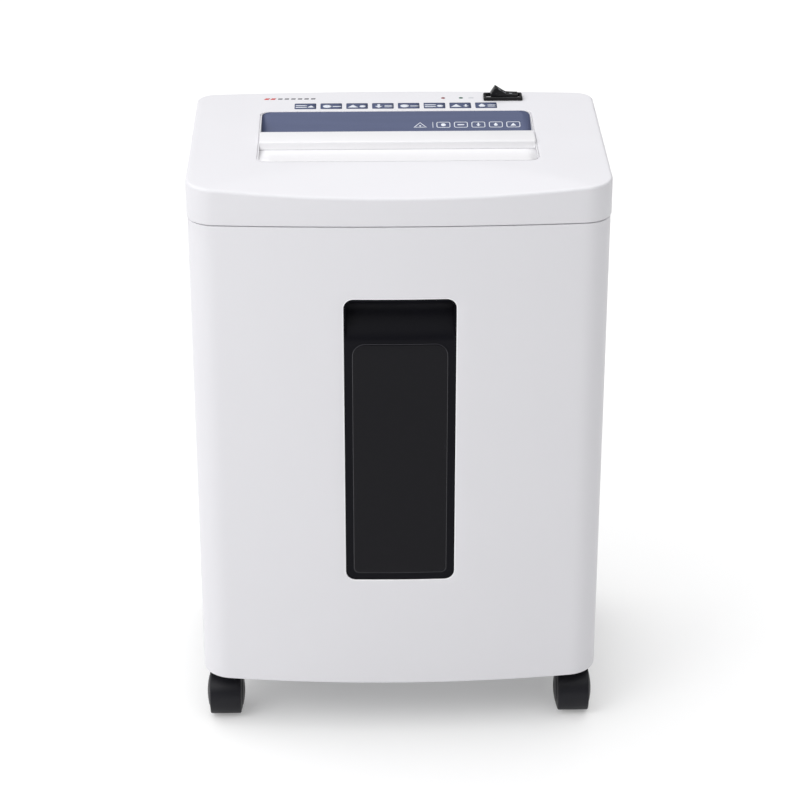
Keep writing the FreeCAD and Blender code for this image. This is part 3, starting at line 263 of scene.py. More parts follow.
caster_nylon = moulded("caster_nylon", (0.012, 0.012, 0.0155), 0.42, 0.5 * MM, 0.014 * MM, 0.10, gloss=0.2)
wheel_plastic = moulded("wheel_plastic", (0.010, 0.010, 0.013), 0.40, 0.8 * MM, 0.010 * MM, 0.10, gloss=0.2)


def wheel_profile():
    """From the inner face out over the tread and along a spherical cap with one ring groove."""
    rim = WHEEL_R - 1.2
    rise = DOME_OUT - TREAD_OUT
    dome_r = (rim ** 2 + rise ** 2) / (2 * rise)
    radius = np.linspace(rim, 0, 40)
    groove = 0.7 * np.exp(-((radius - 14.6) / 0.55) ** 2) + 0.5 * np.exp(-((radius - 5.2) / 0.5) ** 2)
    face = np.stack([DOME_OUT - dome_r + np.sqrt(dome_r ** 2 - radius ** 2) - groove, radius], -1)
    inner = [(TREAD_OUT - 1.5, 0), (TREAD_OUT - 1.5, AXLE_R + 0.05), (WHEEL_IN, AXLE_R + 0.05)]
    hub = [(WHEEL_IN, 6.0), (WHEEL_IN + 2.5, 7.0), (WHEEL_IN + 2.5, 15.0), (WHEEL_IN, 16.0)]
    inside_edge = arc((WHEEL_IN + 1.2, rim), 1.2, 180, 90, 5)
    outside_edge = arc((TREAD_OUT - 1.2, rim), 1.2, 90, 0, 5)
    return np.concatenate([inner, hub, inside_edge, outside_edge, face])


def hood_skins(x, y, top):
    """A cowl whose crowned section is swept round the axle, and the web and collar that hold the stem."""
    section = np.concatenate([
        [(-HOOD_HALF + 0.9, HOOD_R - 1.9)],
        arc((-HOOD_HALF + 1.6, HOOD_R - 1.7), 1.6, 180, 96, 6),
        [(0, HOOD_R)],
        arc((HOOD_HALF - 1.6, HOOD_R - 1.7), 1.6, 84, 0, 6),
        [(HOOD_HALF - 0.9, HOOD_R - 1.9), (HOOD_HALF - 1.4, HOOD_R - HOOD_WALL), (0, HOOD_R - HOOD_WALL),
         (-HOOD_HALF + 1.4, HOOD_R - HOOD_WALL)]])
    sweep = np.radians(np.linspace(222, 60, 48))[:, None]
    across, radius = section[:, 0], section[:, 1]
    cowl = np.stack(np.broadcast_arrays(
        x + across, y - TRAIL + radius * np.cos(sweep), WHEEL_R + radius * np.sin(sweep)), -1)
    rib_arc = arc((y - TRAIL, WHEEL_R), HOOD_R - HOOD_WALL + 0.3, 200, 75, 24)
    boss = [(y - 5.5, top - 2.8), (y + 5.0, top - 2.8), (y + 6.5, top - 4.5), (y + 6.5, 14.0),
            (y + 4.5, 12.0)]
    rib = np.concatenate([rib_arc, boss, [(y - TRAIL - 16, 12.0)]])
    web = np.stack([np.column_stack([np.full(len(rib), x + side * 5.5), rib]) for side in (-1, 1)])
    collar = turned([(top - 4.5, 0), (top - 4.5, 8.5), (top - 1.4, 8.5), (top - 0.5, 7.6), (top - 0.5, 0)],
                    (x, y, 0), "Z", 40)
    return [skin(cowl * MM, wrap_columns=True, caps=True), skin(web * MM, wrap_columns=True, caps=True),
            (collar[0] * MM, collar[1])]




def plated(name, colour, roughness, along=(1.0, 1.0, 1.0)):
    """Bare or plated steel with fine drawn lines, faint stains and uneven gloss."""
    paint = Paint(name)
    lines = paint.noise(0.5 * MM, 2.0, along)
    stains = paint.noise(14 * MM, 4.0)
    dull = [c * 0.72 for c in colour]
    return paint.surface(
        Base_Color=paint.mix(stains * 0.7 + lines * 0.3, dull, colour),
        Metallic=1.0,
        Roughness=roughness - 0.10 + lines * 0.12 + stains * 0.10,
        Normal=paint.bump(lines, 0.006 * MM))


zinc_steel = plated("zinc_steel", (0.60, 0.61, 0.62), 0.34, (0.08, 1.0, 1.0))
dress(zinc_steel, "mechanism_screws", "cabinet_screws", "drawer_screws", "idler_axle", "spacer_posts",
      "tie_rods", "foot_brackets")

for corner in ("front_left", "front_right", "rear_left", "rear_right"):
    body = f"{corner}_caster"
    low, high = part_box(f"{corner}_caster_fork")
    centre_x = (low[0] + high[0]) / 2 / MM
    axle_y = (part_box(f"{corner}_left_wheel")[0][1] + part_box(f"{corner}_left_wheel")[1][1]) / 2 / MM
    swivel_y = axle_y + TRAIL
    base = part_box("base_tray")[0][2] / MM
    piece(f"{corner}_hood", hood_skins(centre_x, swivel_y, base), caster_nylon, body,
          (f"{corner}_caster_fork",), bevel=0.5 * MM)
    stem = turned([(18, 0), (18, STEM_R), (base + 23, STEM_R), (base + 24.5, STEM_R - 1), (base + 24.5, 0)],
                  (centre_x, swivel_y, 0), "Z", 32)
    piece(f"{corner}_stem", [(stem[0] * MM, stem[1])], zinc_steel, body)
    for side, turn in (("left", -1), ("right", 1)):
        shape, faces = turned(wheel_profile(), (0, 0, 0), "X", 72)
        shape = shape * (turn, 1, 1) + (centre_x, axle_y, WHEEL_R)
        piece(f"{corner}_{side}_tyre", [(shape * MM, faces)], wheel_plastic,
              f"{corner}_{side}_wheel", (f"{corner}_{side}_wheel",), sharp=50)


# ---- Side panels and rear panel -----------------------------------------------------------------
# Three ABS walls, a few millimetres thick, with fine grain. They stand on the base, wrap the rear
# corners and stop under the head's joint line. The rear one has a field of vent slots.

class Plan:
    """A bowed rectangle with round corners, mirrored left to right. A distance s runs round it from
    the middle of the low side: low arc, corner, straight side, corner, high arc."""

    def __init__(self, half, low, high, r_low, r_high, bow_low=1e3, bow_high=1e3):
        self.half = half
        self.radii = (bow_low, r_low, r_high, bow_high)
        self.x = (half - r_low, half - r_high)
        self.turn = (math.asin(self.x[0] / (bow_low - r_low)), math.asin(self.x[1] / (bow_high - r_high)))
        self.mid = (low + bow_low, high - bow_high)
        self.y = (self.mid[0] - (bow_low - r_low) * math.cos(self.turn[0]),
                  self.mid[1] + (bow_high - r_high) * math.cos(self.turn[1]))
        quarter = math.pi / 2
        self.marks = np.cumsum([0, bow_low * self.turn[0], r_low * (quarter - self.turn[0]),
                                self.y[1] - self.y[0], r_high * (quarter - self.turn[1]),
                                bow_high * self.turn[1]])

    def at(self, s, inset=0.0):
        """Point at distance s, moved inwards by inset along the outline's own normal."""
        s = np.asarray(s, float)
        d = np.abs(s)
        marks = self.marks
        bow_low, r_low, r_high, bow_high = self.radii
        a = d / bow_low
        b = self.turn[0] + (d - marks[1]) / r_low
        e = (d - marks[3]) / r_high
        f = self.turn[1] - (d - marks[4]) / bow_high
        part = [d < marks[1], d < marks[2], d < marks[3], d < marks[4]]
        x = np.select(part, [(bow_low - inset) * np.sin(a), self.x[0] + (r_low - inset) * np.sin(b),
                             self.half - inset + 0 * d, self.x[1] + (r_high - inset) * np.cos(e)],
                      (bow_high - inset) * np.sin(f))
        y = np.select(part, [self.mid[0] - (bow_low - inset) * np.cos(a),
                             self.y[0] - (r_low - inset) * np.cos(b), self.y[0] + d - marks[2],
                             self.y[1] + (r_high - inset) * np.sin(e)],
                      self.mid[1] + (bow_high - inset) * np.cos(f))
        return np.where(s < 0, -x, x), y

    def stations(self, counts):
        """Distances all the way round, with a set count of steps on each stretch, so that two plans
        with the same counts match point for point."""
        right = [np.linspace(self.marks[k], self.marks[k + 1], counts[k], endpoint=False) for k in range(5)]
        right = np.concatenate(right + [[self.marks[5]]])
        return np.concatenate([right, -right[-2:0:-1]])

    def ring(self, counts, inset=0.0):
        return self.at(self.stations(counts), inset)

    def width_at(self, y, inset=0.0):
        """Half width of the plan at height y."""
        low = self.x[0] + np.sqrt(np.maximum(0, (self.radii[1] - inset) ** 2 - (y - self.y[0]) ** 2))
        high = self.x[1] + np.sqrt(np.maximum(0, (self.radii[2] - inset) ** 2 - (y - self.y[1]) ** 2))
        return np.where(y < self.y[0], low, np.where(y > self.y[1], high, self.half - inset))


FRONT_BOW = 14.0 * MM
REAR_BOW = 7.0 * MM
FRONT_CORNER = 28.0 * MM
REAR_CORNER = 17.0 * MM
SEAM_ARCH = 2.7 * MM
SEAM_GAP = 0.8 * MM
SHADOW_GAP = 0.6 * MM
WALL = 3.0 * MM
head_low, head_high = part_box("head_cover")
body_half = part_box("front_panel")[1][0]
base_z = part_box("base_tray")[0][2]
seam_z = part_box("front_panel")[1][2] + SEAM_GAP - SEAM_ARCH
front_radius = (head_high[0] ** 2 + FRONT_BOW ** 2) / (2 * FRONT_BOW)
rear_radius = (head_high[0] ** 2 + REAR_BOW ** 2) / (2 * REAR_BOW)
body_plan = Plan(body_half, head_low[1], head_high[1], FRONT_CORNER, REAR_CORNER, front_radius, rear_radius)


def seam_height(x):
    """The joint line rises as a parabola from the sides to the middle."""
    return seam_z + SEAM_ARCH * (1 - (x / head_high[0]) ** 2)


def wall_sheet(s, levels):
    """Outer face of the cabinet: distances s round the plan by fractions of the height."""
    x, y = body_plan.at(s)
    top = seam_height(x) - SEAM_GAP
    z = base_z + (top[None, :] - base_z) * levels[:, None]
    return np.stack(np.broadcast_arrays(x, y, z), -1)


def between(a, b, step):
    return np.linspace(a, b, max(2, int(abs(b - a) / step) + 1))


white_abs = moulded("white_abs", (0.740, 0.735, 0.765), 0.40, 0.35 * MM, 0.006 * MM, 0.012, gloss=0.3)
marks = body_plan.marks
panel_start = marks[2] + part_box("left_side_panel")[0][1] - body_plan.y[0]
rear_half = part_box("rear_panel")[1][0]
total = marks[5]
rear_split = total - rear_radius * math.asin(rear_half / rear_radius)
levels = np.linspace(0, 1, 9)
for side, name in ((-1, "left_side_panel"), (1, "right_side_panel")):
    edge = rear_split - SHADOW_GAP
    s = np.concatenate([between(panel_start, marks[3], 0.012)[:-1], between(marks[3], marks[4], 0.0012)[:-1],
                        between(marks[4], edge, 0.004)])
    piece(name.replace("panel", "wall"), [skin(wall_sheet(side * s, levels))], white_abs,
          "cabinet", (name,), facing=(side, 0, 0), wall=WALL, bevel=0.6 * MM)

VENT_COUNT = 12
VENT_PITCH = 8.0 * MM
VENT_WIDTH = 3.2 * MM
tray_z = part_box("mechanism_tray")[0][2]
vent_z = (tray_z - 3.0 * MM, tray_z + 62.0 * MM)
vent_start = (VENT_COUNT * VENT_PITCH - VENT_PITCH + VENT_WIDTH) / 2
edges = np.sort(np.concatenate([k * VENT_PITCH - vent_start + np.array([0, VENT_WIDTH])
                                for k in range(VENT_COUNT)]))
columns = np.concatenate([between(-rear_half, edges[0], 0.008)[:-1], edges,
                          between(edges[-1], rear_half, 0.008)[1:]])
rear_top = seam_height(0) - SEAM_GAP
rows = np.concatenate([np.linspace(base_z, vent_z[0], 8)[:-1], np.linspace(*vent_z, 3), [rear_top]])
levels = (rows - base_z) / (rear_top - base_z)
rear_sheet = wall_sheet(total - rear_radius * np.arcsin(columns / rear_radius), levels)
rear_sheet[..., 0] = columns
in_row = (rows[:-1] >= vent_z[0] - 1e-6) & (rows[1:] <= vent_z[1] + 1e-6)
in_slot = np.zeros(columns.size - 1, bool)
for k in range(VENT_COUNT):
    left = k * VENT_PITCH - vent_start
    in_slot |= (columns[:-1] >= left - 1e-6) & (columns[1:] <= left + VENT_WIDTH + 1e-6)
piece("rear_wall", [skin(rear_sheet, keep=~(in_row[:, None] & in_slot[None, :]))], white_abs,
      "cabinet", ("rear_panel",), facing=(0, 1, 0), wall=WALL, bevel=0.5 * MM)


# ---- Cord gland ---------------------------------------------------------------------------------
# A flanged nylon bush in the rear wall, with a hole that the mains lead goes through. Its shape is
# the design's own.

black_nylon = moulded("black_nylon", (0.022, 0.022, 0.024), 0.48, 0.6 * MM, 0.012 * MM, 0.10)
dress(black_nylon, "cord_gland", "capacitor_clip", "paper_sensor", "reed_sensor")


# ---- Drawer front -------------------------------------------------------------------------------
# One bowed ABS moulding that wraps both front corners and closes the whole front. It has a tall
# opening for the window with a bright bead round it, and all its edges are softly rounded.

EDGE = 0.7 * MM
window_low, window_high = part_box("window_moulding")
WINDOW_GAP = 0.3 * MM
WINDOW_R = 8.5 * MM
window_half = window_high[0] + WINDOW_GAP
window_z = (window_low[2] - WINDOW_GAP, window_high[2] + WINDOW_GAP)
drawer_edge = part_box("front_panel")[1][1]
panel_half = marks[2] + drawer_edge - body_plan.y[0]
window_plan = Plan(window_half, *window_z, WINDOW_R, WINDOW_R)
front_plan = Plan(panel_half, base_z, seam_z - SEAM_GAP, 1.0 * MM, 1.0 * MM)
RING = (64, 7, 26, 7, 64)


def on_front(unrolled, inset):
    """Wraps (distance, height) pairs onto the bowed front, inset inwards. The top follows the joint."""
    s, z = unrolled
    x, y = body_plan.at(s, inset)
    reach = np.clip((z - window_z[1]) / (seam_z - SEAM_GAP - window_z[1]), 0, 1)
    lift = (seam_height(x) - seam_z) * reach ** 2 * (3 - 2 * reach)
    return np.stack([x, y, z + lift], -1)


def blend(a, b, t):
    return tuple((1 - t) * p + t * q for p, q in zip(a, b))


quarter_turn = np.radians(np.linspace(0, 90, 5))
WINDOW_EDGE = 1.3 * MM
inner_ring, outer_ring = window_plan.ring(RING, -WINDOW_EDGE), front_plan.ring(RING, EDGE)
rows = [on_front(window_plan.ring(RING), WALL)]
rows += [on_front(window_plan.ring(RING, -WINDOW_EDGE * (1 - math.cos(a))), WINDOW_EDGE * (1 - math.sin(a)))
         for a in quarter_turn]
spread = np.concatenate([np.linspace(0, 0.58, 10)[1:], np.linspace(0.58, 0.90, 24)[1:],
                         np.linspace(0.9, 1, 5)[1:]])
rows += [on_front(blend(inner_ring, outer_ring, t), 0.0) for t in spread]
rows += [on_front(front_plan.ring(RING, EDGE * (1 - math.sin(a))), EDGE * (1 - math.cos(a)))
         for a in quarter_turn[1:]]
rows += [on_front(blend(front_plan.ring(RING), window_plan.ring(RING), t), WALL)
         for t in np.linspace(0, 1, 20)[:-1]]
piece("drawer_face", [skin(np.array(rows), True, True)], white_abs, "drawer",
      ("front_panel",))

BEAD = 1.2 * MM
BEAD_IN = 0.2 * MM
bright_abs = moulded("bright_abs", (0.92, 0.92, 0.94), 0.30, 0.4 * MM, 0.004 * MM, 0.01, gloss=0.3)
bead = [on_front(window_plan.ring(RING, BEAD_IN - BEAD / 2 * (1 - math.cos(a))),
                 BEAD / 2 * (1 - math.sin(a)))
        for a in np.linspace(0, 2 * math.pi, 12, endpoint=False)]
piece("window_bead", [skin(np.array(bead), True, True)], bright_abs, "drawer")


# ---- Window moulding and pane -------------------------------------------------------------------
# A dark, finely textured moulding fills the opening. Its upper part is scooped for the fingertips,
# and below it a smoked pane stands proud of it, with large top corners and a glossy ring along its edge whose
# lighter colour is a painted highlight.

POCKET_Z = (window_high[2] - 39.1 * MM, window_high[2] - 2.1 * MM)
POCKET_DEPTH = 13.5 * MM
DEEPEST = 0.72
FACE_SINK = 0.9 * MM
MOULDING_R = WINDOW_R - WINDOW_GAP
POCKET_EDGE = 0.9 * MM
POCKET_STEP = 1.3 * MM
POCKET_LEAD = 2 * MM
moulding_plan = Plan(window_high[0], window_low[2], window_high[2], MOULDING_R, MOULDING_R)


def front_y(x):
    return body_plan.mid[0] - np.sqrt(front_radius ** 2 - x ** 2)


def smooth(t):
    t = np.clip(t, 0, 1)
    return t * t * (3 - 2 * t)


def pocket(x, z):
    """Depth of the scoop. It deepens smoothly for DEEPEST of its height, then comes back along a
    quarter of an ellipse, and ends in a short smooth step at either side."""
    t = (z - POCKET_Z[0]) / (POCKET_Z[1] - POCKET_Z[0])
    back = np.sqrt(np.clip(1 - ((t - DEEPEST) / (1 - DEEPEST)) ** 2, 0, 1))
    ends = smooth((moulding_plan.width_at(z, POCKET_EDGE) - np.abs(x)) / POCKET_STEP)
    return POCKET_DEPTH * np.where(t < DEEPEST, smooth(t / DEEPEST), back) * ends


def moulding_grid():
    """Height by width over the rounded opening, with two rows and columns that turn back inside."""
    z0, z1 = window_low[2], window_high[2]
    lead = POCKET_Z[0] - POCKET_LEAD
    z = np.concatenate([z0 + WINDOW_R * (1 - np.cos(quarter_turn)), between(z0 + WINDOW_R, lead, 0.006)[1:],
                        between(lead, z1 - WINDOW_R, 0.0007)[1:],
                        z1 - WINDOW_R * (1 - np.sin(np.radians(np.linspace(0, 90, 16))))[1:]])
    u = np.concatenate([np.linspace(-1, -0.9, 16), np.linspace(-0.9, 0.9, 40)[1:-1], np.linspace(0.9, 1, 16)])
    x = moulding_plan.width_at(z, 0.0)[:, None] * u
    y = front_y(x) + FACE_SINK + pocket(x, z[:, None])
    grid = np.stack(np.broadcast_arrays(x, y, z[:, None]), -1)
    grid = np.concatenate([grid[:, :1], grid, grid[:, -1:]], 1)
    grid = np.concatenate([grid[:1], grid, grid[-1:]], 0)
    back = window_low[1] + 9 * MM
    for rim in (grid[0], grid[-1], grid[:, 0], grid[:, -1]):
        rim[..., 1] = back
    return grid


def textured(name, colour, roughness):
    """Black ABS with a coarse leather-like grain from two scales of noise."""
    paint = Paint(name)
    coarse = paint.noise(1.1 * MM, 3.0)
    fine = paint.noise(0.35 * MM)
    haze = paint.noise(60 * MM)
    return paint.surface(
        Base_Color=paint.mix(haze, [c * 0.8 for c in colour], [c * 1.2 for c in colour]),
        Roughness=roughness + (coarse - 0.5) * 0.12,
        Normal=paint.bump(fine, 0.01 * MM, paint.bump(coarse, 0.02 * MM)),
        Specular_IOR_Level=0.09)


window_black = textured("window_black", (0.0042, 0.0042, 0.0066), 0.46)
piece("window_frame", [skin(moulding_grid())], window_black, "drawer", ("window_moulding",),
      facing=(0, -1, 0), wall=1.8 * MM, sharp=50)

PANE_EDGE = 1.3 * MM
PANE_SINK = 0.15 * MM
pane_low, pane_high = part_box("window_pane")
pane_plan = Plan(pane_high[0], pane_low[2], pane_high[2], 4.85 * MM, 11.35 * MM)
PANE_RING = (20, 14, 40, 20, 20)


def on_pane(inset, sink, shrink=1.0):
    x, z = pane_plan.ring(PANE_RING, inset)
    x = x * shrink
    z = pane_plan.y[0] + (z - pane_plan.y[0]) * shrink + (1 - shrink) * (pane_plan.y[1] - pane_plan.y[0]) / 2
    return np.stack([x, front_y(x) + sink, z], -1)


rows = [on_pane(0, 3.4 * MM, t) for t in np.linspace(0, 1, 6)]
rows += [on_pane(PANE_EDGE * (1 - math.cos(a)), PANE_SINK + PANE_EDGE * (1 - math.sin(a)))
         for a in quarter_turn]
rows += [on_pane(PANE_EDGE, PANE_SINK, t) for t in np.linspace(1, 0, 14)[1:]]
smoked = moulded("smoked", (0.0030, 0.0028, 0.0050), 0.24, 1.2 * MM, 0.004 * MM, 0.08, gloss=0.16)
piece("smoked_pane", [skin(np.array(rows), wrap_columns=True)], smoked, "drawer",
      ("window_pane",))

# A thin glossy tube runs along the pane's rounded edge. Its gloss is real, but its colour is painted much
# lighter than the pane as a painted highlight.
HIGHLIGHT_RING_R = 0.35 * MM
LINE_IN = PANE_EDGE * 0.29
gloss_and_painted_highlight = moulded("polished_edge", (0.040, 0.040, 0.046), 0.16, 1.2 * MM, 0.002 * MM, 0.05, gloss=0.5)
highlight_ring = [on_pane(LINE_IN + HIGHLIGHT_RING_R * math.cos(a), PANE_SINK + LINE_IN + HIGHLIGHT_RING_R * (0.6 - math.sin(a)))
             for a in np.linspace(0, 2 * math.pi, 9)[:-1]]
piece("pane_edge", [skin(np.array(highlight_ring), True, True)], gloss_and_painted_highlight, "drawer")


# ---- Waste bin ----------------------------------------------------------------------------------
# A thin black polypropylene tub behind the drawer front, held by six screws, with a small magnet at
# the back that tells the reed switch it is home. Their shapes are the design's own.

bin_black = moulded("bin_black", (0.045, 0.045, 0.050), 0.50, 1.0 * MM, 0.03 * MM, 0.10)
dress(bin_black, "bin_tub")
ferrite = moulded("ferrite", (0.07, 0.07, 0.075), 0.60, 0.5 * MM, 0.03 * MM, 0.15)
dress(ferrite, "bin_magnet")


# ---- Cutting unit -------------------------------------------------------------------------------
# Two hardened rollers in bronze bushes between zinc-plated plates, timed by a pair of gears and
# driven through an idler from a capacitor motor. All of it hangs in the tray under the head.

cutter_steel = plated("cutter_steel", (0.36, 0.36, 0.37), 0.30, (0.1, 1.0, 1.0))
sintered = plated("sintered", (0.26, 0.26, 0.27), 0.46)
bronze = plated("bronze", (0.52, 0.33, 0.14), 0.38)
cast_aluminium = plated("cast_aluminium", (0.62, 0.62, 0.63), 0.44)
plate_zinc = plated("plate_zinc", (0.55, 0.56, 0.58), 0.36, (1.0, 1.0, 0.1))
dress(cutter_steel, "front_cutter", "rear_cutter")
dress(sintered, "front_sync_gear", "rear_sync_gear", "drive_gear", "motor_rotor")
dress(bronze, "shaft_bushes")
dress(cast_aluminium, "motor_end_bells", "run_capacitor")
dress(plate_zinc, "left_side_plate", "right_side_plate", "gear_cover")


def laminated(name):
    """Stacked electrical sheet: half-millimetre stripes across the stack, under brown varnish."""
    paint = Paint(name)
    place = paint.node("ShaderNodeTexCoord", {}, {}, "Object")
    stripes = paint.node("ShaderNodeTexWave", {"bands_direction": "X"}, {"Vector": place, "Scale": 300.0})
    stain = paint.noise(9 * MM, 4.0)
    return paint.surface(
        Base_Color=paint.mix(stain, (0.10, 0.075, 0.06), (0.22, 0.19, 0.17)),
        Metallic=0.7,
        Roughness=0.40 + stripes * 0.15,
        Normal=paint.bump(stripes, 0.05 * MM))


dress(laminated("laminated"), "motor_stack")


def circuit(name):
    """Green solder mask with paler copper tracks under it, from a thresholded noise."""
    paint = Paint(name)
    tracks = paint.noise(2.4 * MM, 1.0, (0.25, 1.0, 1.0)) > 0.52
    dust = paint.noise(6 * MM, 3.0)
    return paint.surface(
        Base_Color=paint.mix(tracks, (0.012, 0.085, 0.035), (0.03, 0.16, 0.06)),
        Roughness=0.30 + dust * 0.2,
        Normal=paint.bump(tracks, 0.02 * MM))


dress(circuit("circuit"), "control_board")


# ---- Head cover ---------------------------------------------------------------------------------
# One ABS moulding: a skirt that stands a step proud of the cabinet, and a deck that dips towards the
# middle of its front edge. The deck is open over the throat.

TOP_DIP = 5.0 * MM
TOP_EDGE = 2.4 * MM
top_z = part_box("throat_insert")[1][2]
throat_low, throat_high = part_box("throat_insert")
THROAT_GAP = 0.25 * MM
GROOVE = 0.80 * MM
THROAT_EDGE = 0.35 * MM
THROAT_R = (9.0 * MM, 8.0 * MM)
head_plan = Plan(head_high[0], head_low[1], head_high[1], FRONT_CORNER, REAR_CORNER, front_radius,
                 rear_radius)
groove_out = THROAT_GAP + GROOVE
throat_plan = Plan(throat_high[0] + groove_out, throat_low[1] - groove_out, throat_high[1] + groove_out,
                   THROAT_R[0] + GROOVE, THROAT_R[1] + GROOVE)
HEAD_RING = (44, 26, 40, 18, 44)


def deck_height(x, y):
    """Flat, less a dip that is a parabola across the front edge and fades out by the throat."""
    run = throat_low[1] - head_low[1]
    dip = TOP_DIP * (1 - (x / head_high[0]) ** 2) - TOP_DIP * (y - head_low[1]) / run
    soft = 0.35 * MM
    return top_z - (dip + np.sqrt(dip ** 2 + soft ** 2)) / 2


def head_row(outline, drop=None, z=None):
    """A ring of the cover, at a drop below the deck or at a given height."""
    x, y = outline
    return np.stack(np.broadcast_arrays(x, y, deck_height(x, y) - drop if z is None else z(x, y)), -1)


def joint(offset):
    return lambda x, y: seam_height(x) + offset


rows = [head_row(head_plan.ring(HEAD_RING, WALL), z=joint(0))]
rows += [head_row(head_plan.ring(HEAD_RING, EDGE * (1 - math.sin(a))), z=joint(EDGE * (1 - math.cos(a))))
         for a in quarter_turn]
rows += [head_row(head_plan.ring(HEAD_RING, TOP_EDGE * (1 - math.cos(a))), TOP_EDGE * (1 - math.sin(a)))
         for a in np.radians(np.linspace(0, 90, 8))]
deck_out, deck_in = head_plan.ring(HEAD_RING, TOP_EDGE), throat_plan.ring(HEAD_RING, -THROAT_EDGE)
rows += [head_row(blend(deck_out, deck_in, t), 0.0) for t in np.linspace(0, 1, 26)[1:]]
rows += [head_row(throat_plan.ring(HEAD_RING, -THROAT_EDGE * (1 - math.sin(a))),
                  THROAT_EDGE * (1 - math.cos(a)))
         for a in quarter_turn[1:]]
rows += [head_row(blend(throat_plan.ring(HEAD_RING), head_plan.ring(HEAD_RING, WALL), t), WALL)
         for t in np.linspace(0, 1, 14)]
piece("head_shell", [skin(np.array(rows), True, True)], white_abs, "cabinet",
      ("head_cover",))


# ---- Feed throat and guide bar ------------------------------------------------------------------
# The throat is one white moulding set into the deck: a lip that slopes to a shelf, the slot's walls
# and the rear guide. A separate bar with a rounded nose stands on the shelf and hides the slot.

RIM = 0.4 * MM
GROOVE_DEPTH = 1.2 * MM
RIM_DEPTH = 14.0 * MM
FLANGE = 0.9 * MM
slot_y = (19.0 * MM, 25.0 * MM)
shelf_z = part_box("guide_bar")[0][2]
slot_bottom = throat_low[2]
RAMP_LOW = top_z - 12.5 * MM
FILM = 0.4 * MM
LIP_FOOT_Y = -15 * MM
LIP_DROP = 0.4 * MM
insert_plan = Plan(throat_high[0], throat_low[1], throat_high[1],
                   THROAT_R[0] - THROAT_GAP, THROAT_R[1] - THROAT_GAP)


def polyline(corners, step):
    """Even points along straight runs between corners."""
    runs = []
    for start, end in zip(corners[:-1], corners[1:]):
        t = np.linspace(0, 1, max(2, int(math.dist(start, end) / step)), endpoint=False)[:, None]
        runs.append(np.array(start) + (np.array(end) - np.array(start)) * t)
    return np.concatenate(runs + [[corners[-1]]])


def trough(path, inset, columns=25):
    """A floor that follows path in depth and height, as wide as the throat is at each depth."""
    y, z = path.T
    x = insert_plan.width_at(y, inset)[:, None] * np.linspace(-1, 1, columns)
    return np.stack(np.broadcast_arrays(x, y[:, None], z[:, None]), -1)


lip_top = (throat_low[1] + RIM, top_z - LIP_DROP)
lip_path = polyline([lip_top, (LIP_FOOT_Y, shelf_z), (slot_y[0], shelf_z)], 0.0015)
slot_front = polyline([(slot_y[0], shelf_z), (slot_y[0], slot_bottom)], 0.01)
lip_path = np.concatenate([lip_path, slot_front[1:]])
ramp_path = polyline([(slot_y[1], slot_bottom), (slot_y[1], RAMP_LOW)], 0.01)
ramp = polyline([(slot_y[1], RAMP_LOW), (throat_high[1] - RIM, top_z - FILM)], 0.0015)
ramp_path = np.concatenate([ramp_path, ramp[1:]])
RIM_RING = (30, 12, 24, 12, 30)
rim_section = [(0, RIM_DEPTH), (-FLANGE, RIM_DEPTH), (-FLANGE, GROOVE_DEPTH), (0, GROOVE_DEPTH)]
rim_section += [(RIM / 2 * (1 - math.cos(a)), RIM / 2 * (1 - math.sin(a)))
                for a in np.linspace(0, math.pi, 7)]
rim_section += [(RIM, RIM_DEPTH)]
rim = np.array([head_row(insert_plan.ring(RIM_RING, inset), drop) for inset, drop in rim_section])
white_insert = moulded("white_insert", (0.805, 0.80, 0.82), 0.36, 0.4 * MM, 0.006 * MM, 0.012, gloss=0.3)
piece("throat_rim", [skin(rim, True, True)], white_insert, "cabinet", ("throat_insert",))
piece("throat_floor", [skin(trough(lip_path, RIM))], white_insert, "cabinet",
      facing=(0, 0, 1), wall=2.2 * MM)
piece("rear_guide", [skin(trough(ramp_path, RIM))], white_insert, "cabinet",
      facing=(0, 0, 1), wall=2.2 * MM)


def drawn_in(profile, distance):
    """The closed profile moved inwards by distance along the mean of its neighbours' normals."""
    ahead = np.roll(profile, -1, 0) - profile
    behind = profile - np.roll(profile, 1, 0)
    tangent = ahead / np.linalg.norm(ahead, axis=1)[:, None]
    tangent = tangent + behind / np.linalg.norm(behind, axis=1)[:, None]
    normal = np.stack([-tangent[:, 1], tangent[:, 0]], -1) / np.linalg.norm(tangent, axis=1)[:, None]
    area = np.sum(profile[:, 0] * np.roll(profile[:, 1], -1) - profile[:, 1] * np.roll(profile[:, 0], -1))
    return profile + normal * distance * np.sign(area)


def bar(profile, start, end, edge):
    """A closed profile carried from start to end, drawn in at both ends so that they are rounded."""
    turn = np.radians(np.linspace(0, 90, 5))
    steps = [(start + edge * (1 - math.cos(a)), edge * (1 - math.sin(a))) for a in turn]
    steps += [(end - edge * (1 - math.cos(a)), edge * (1 - math.sin(a))) for a in turn[::-1]]
    return np.array([np.insert(drawn_in(profile, inset), 0, along, 1) for along, inset in steps])


bar_low, bar_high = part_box("guide_bar")
NOSE = 2.2 * MM
FACE_LEAN = 2.6 * MM
bar_profile = np.concatenate([
    [(bar_low[1] + 0.3 * MM, bar_low[2]), (bar_low[1] + 0.1 * MM, bar_low[2] + 0.6 * MM)],
    arc((bar_low[1] + FACE_LEAN + NOSE, bar_high[2] - NOSE), NOSE, 165, 88, 9),
    arc((bar_high[1] - 1.6 * MM, bar_high[2] - 2.2 * MM), 1.6 * MM, 88, 0, 6),
    [(bar_high[1], bar_low[2])]])
BAR_GAP = 0.1 * MM
bar_half = throat_high[0] - RIM - BAR_GAP
piece("guide", [skin(bar(bar_profile, -bar_half, bar_half, 0.4 * MM), wrap_columns=True, caps=True)],
      white_insert, "cabinet", ("guide_bar",), sharp=40)


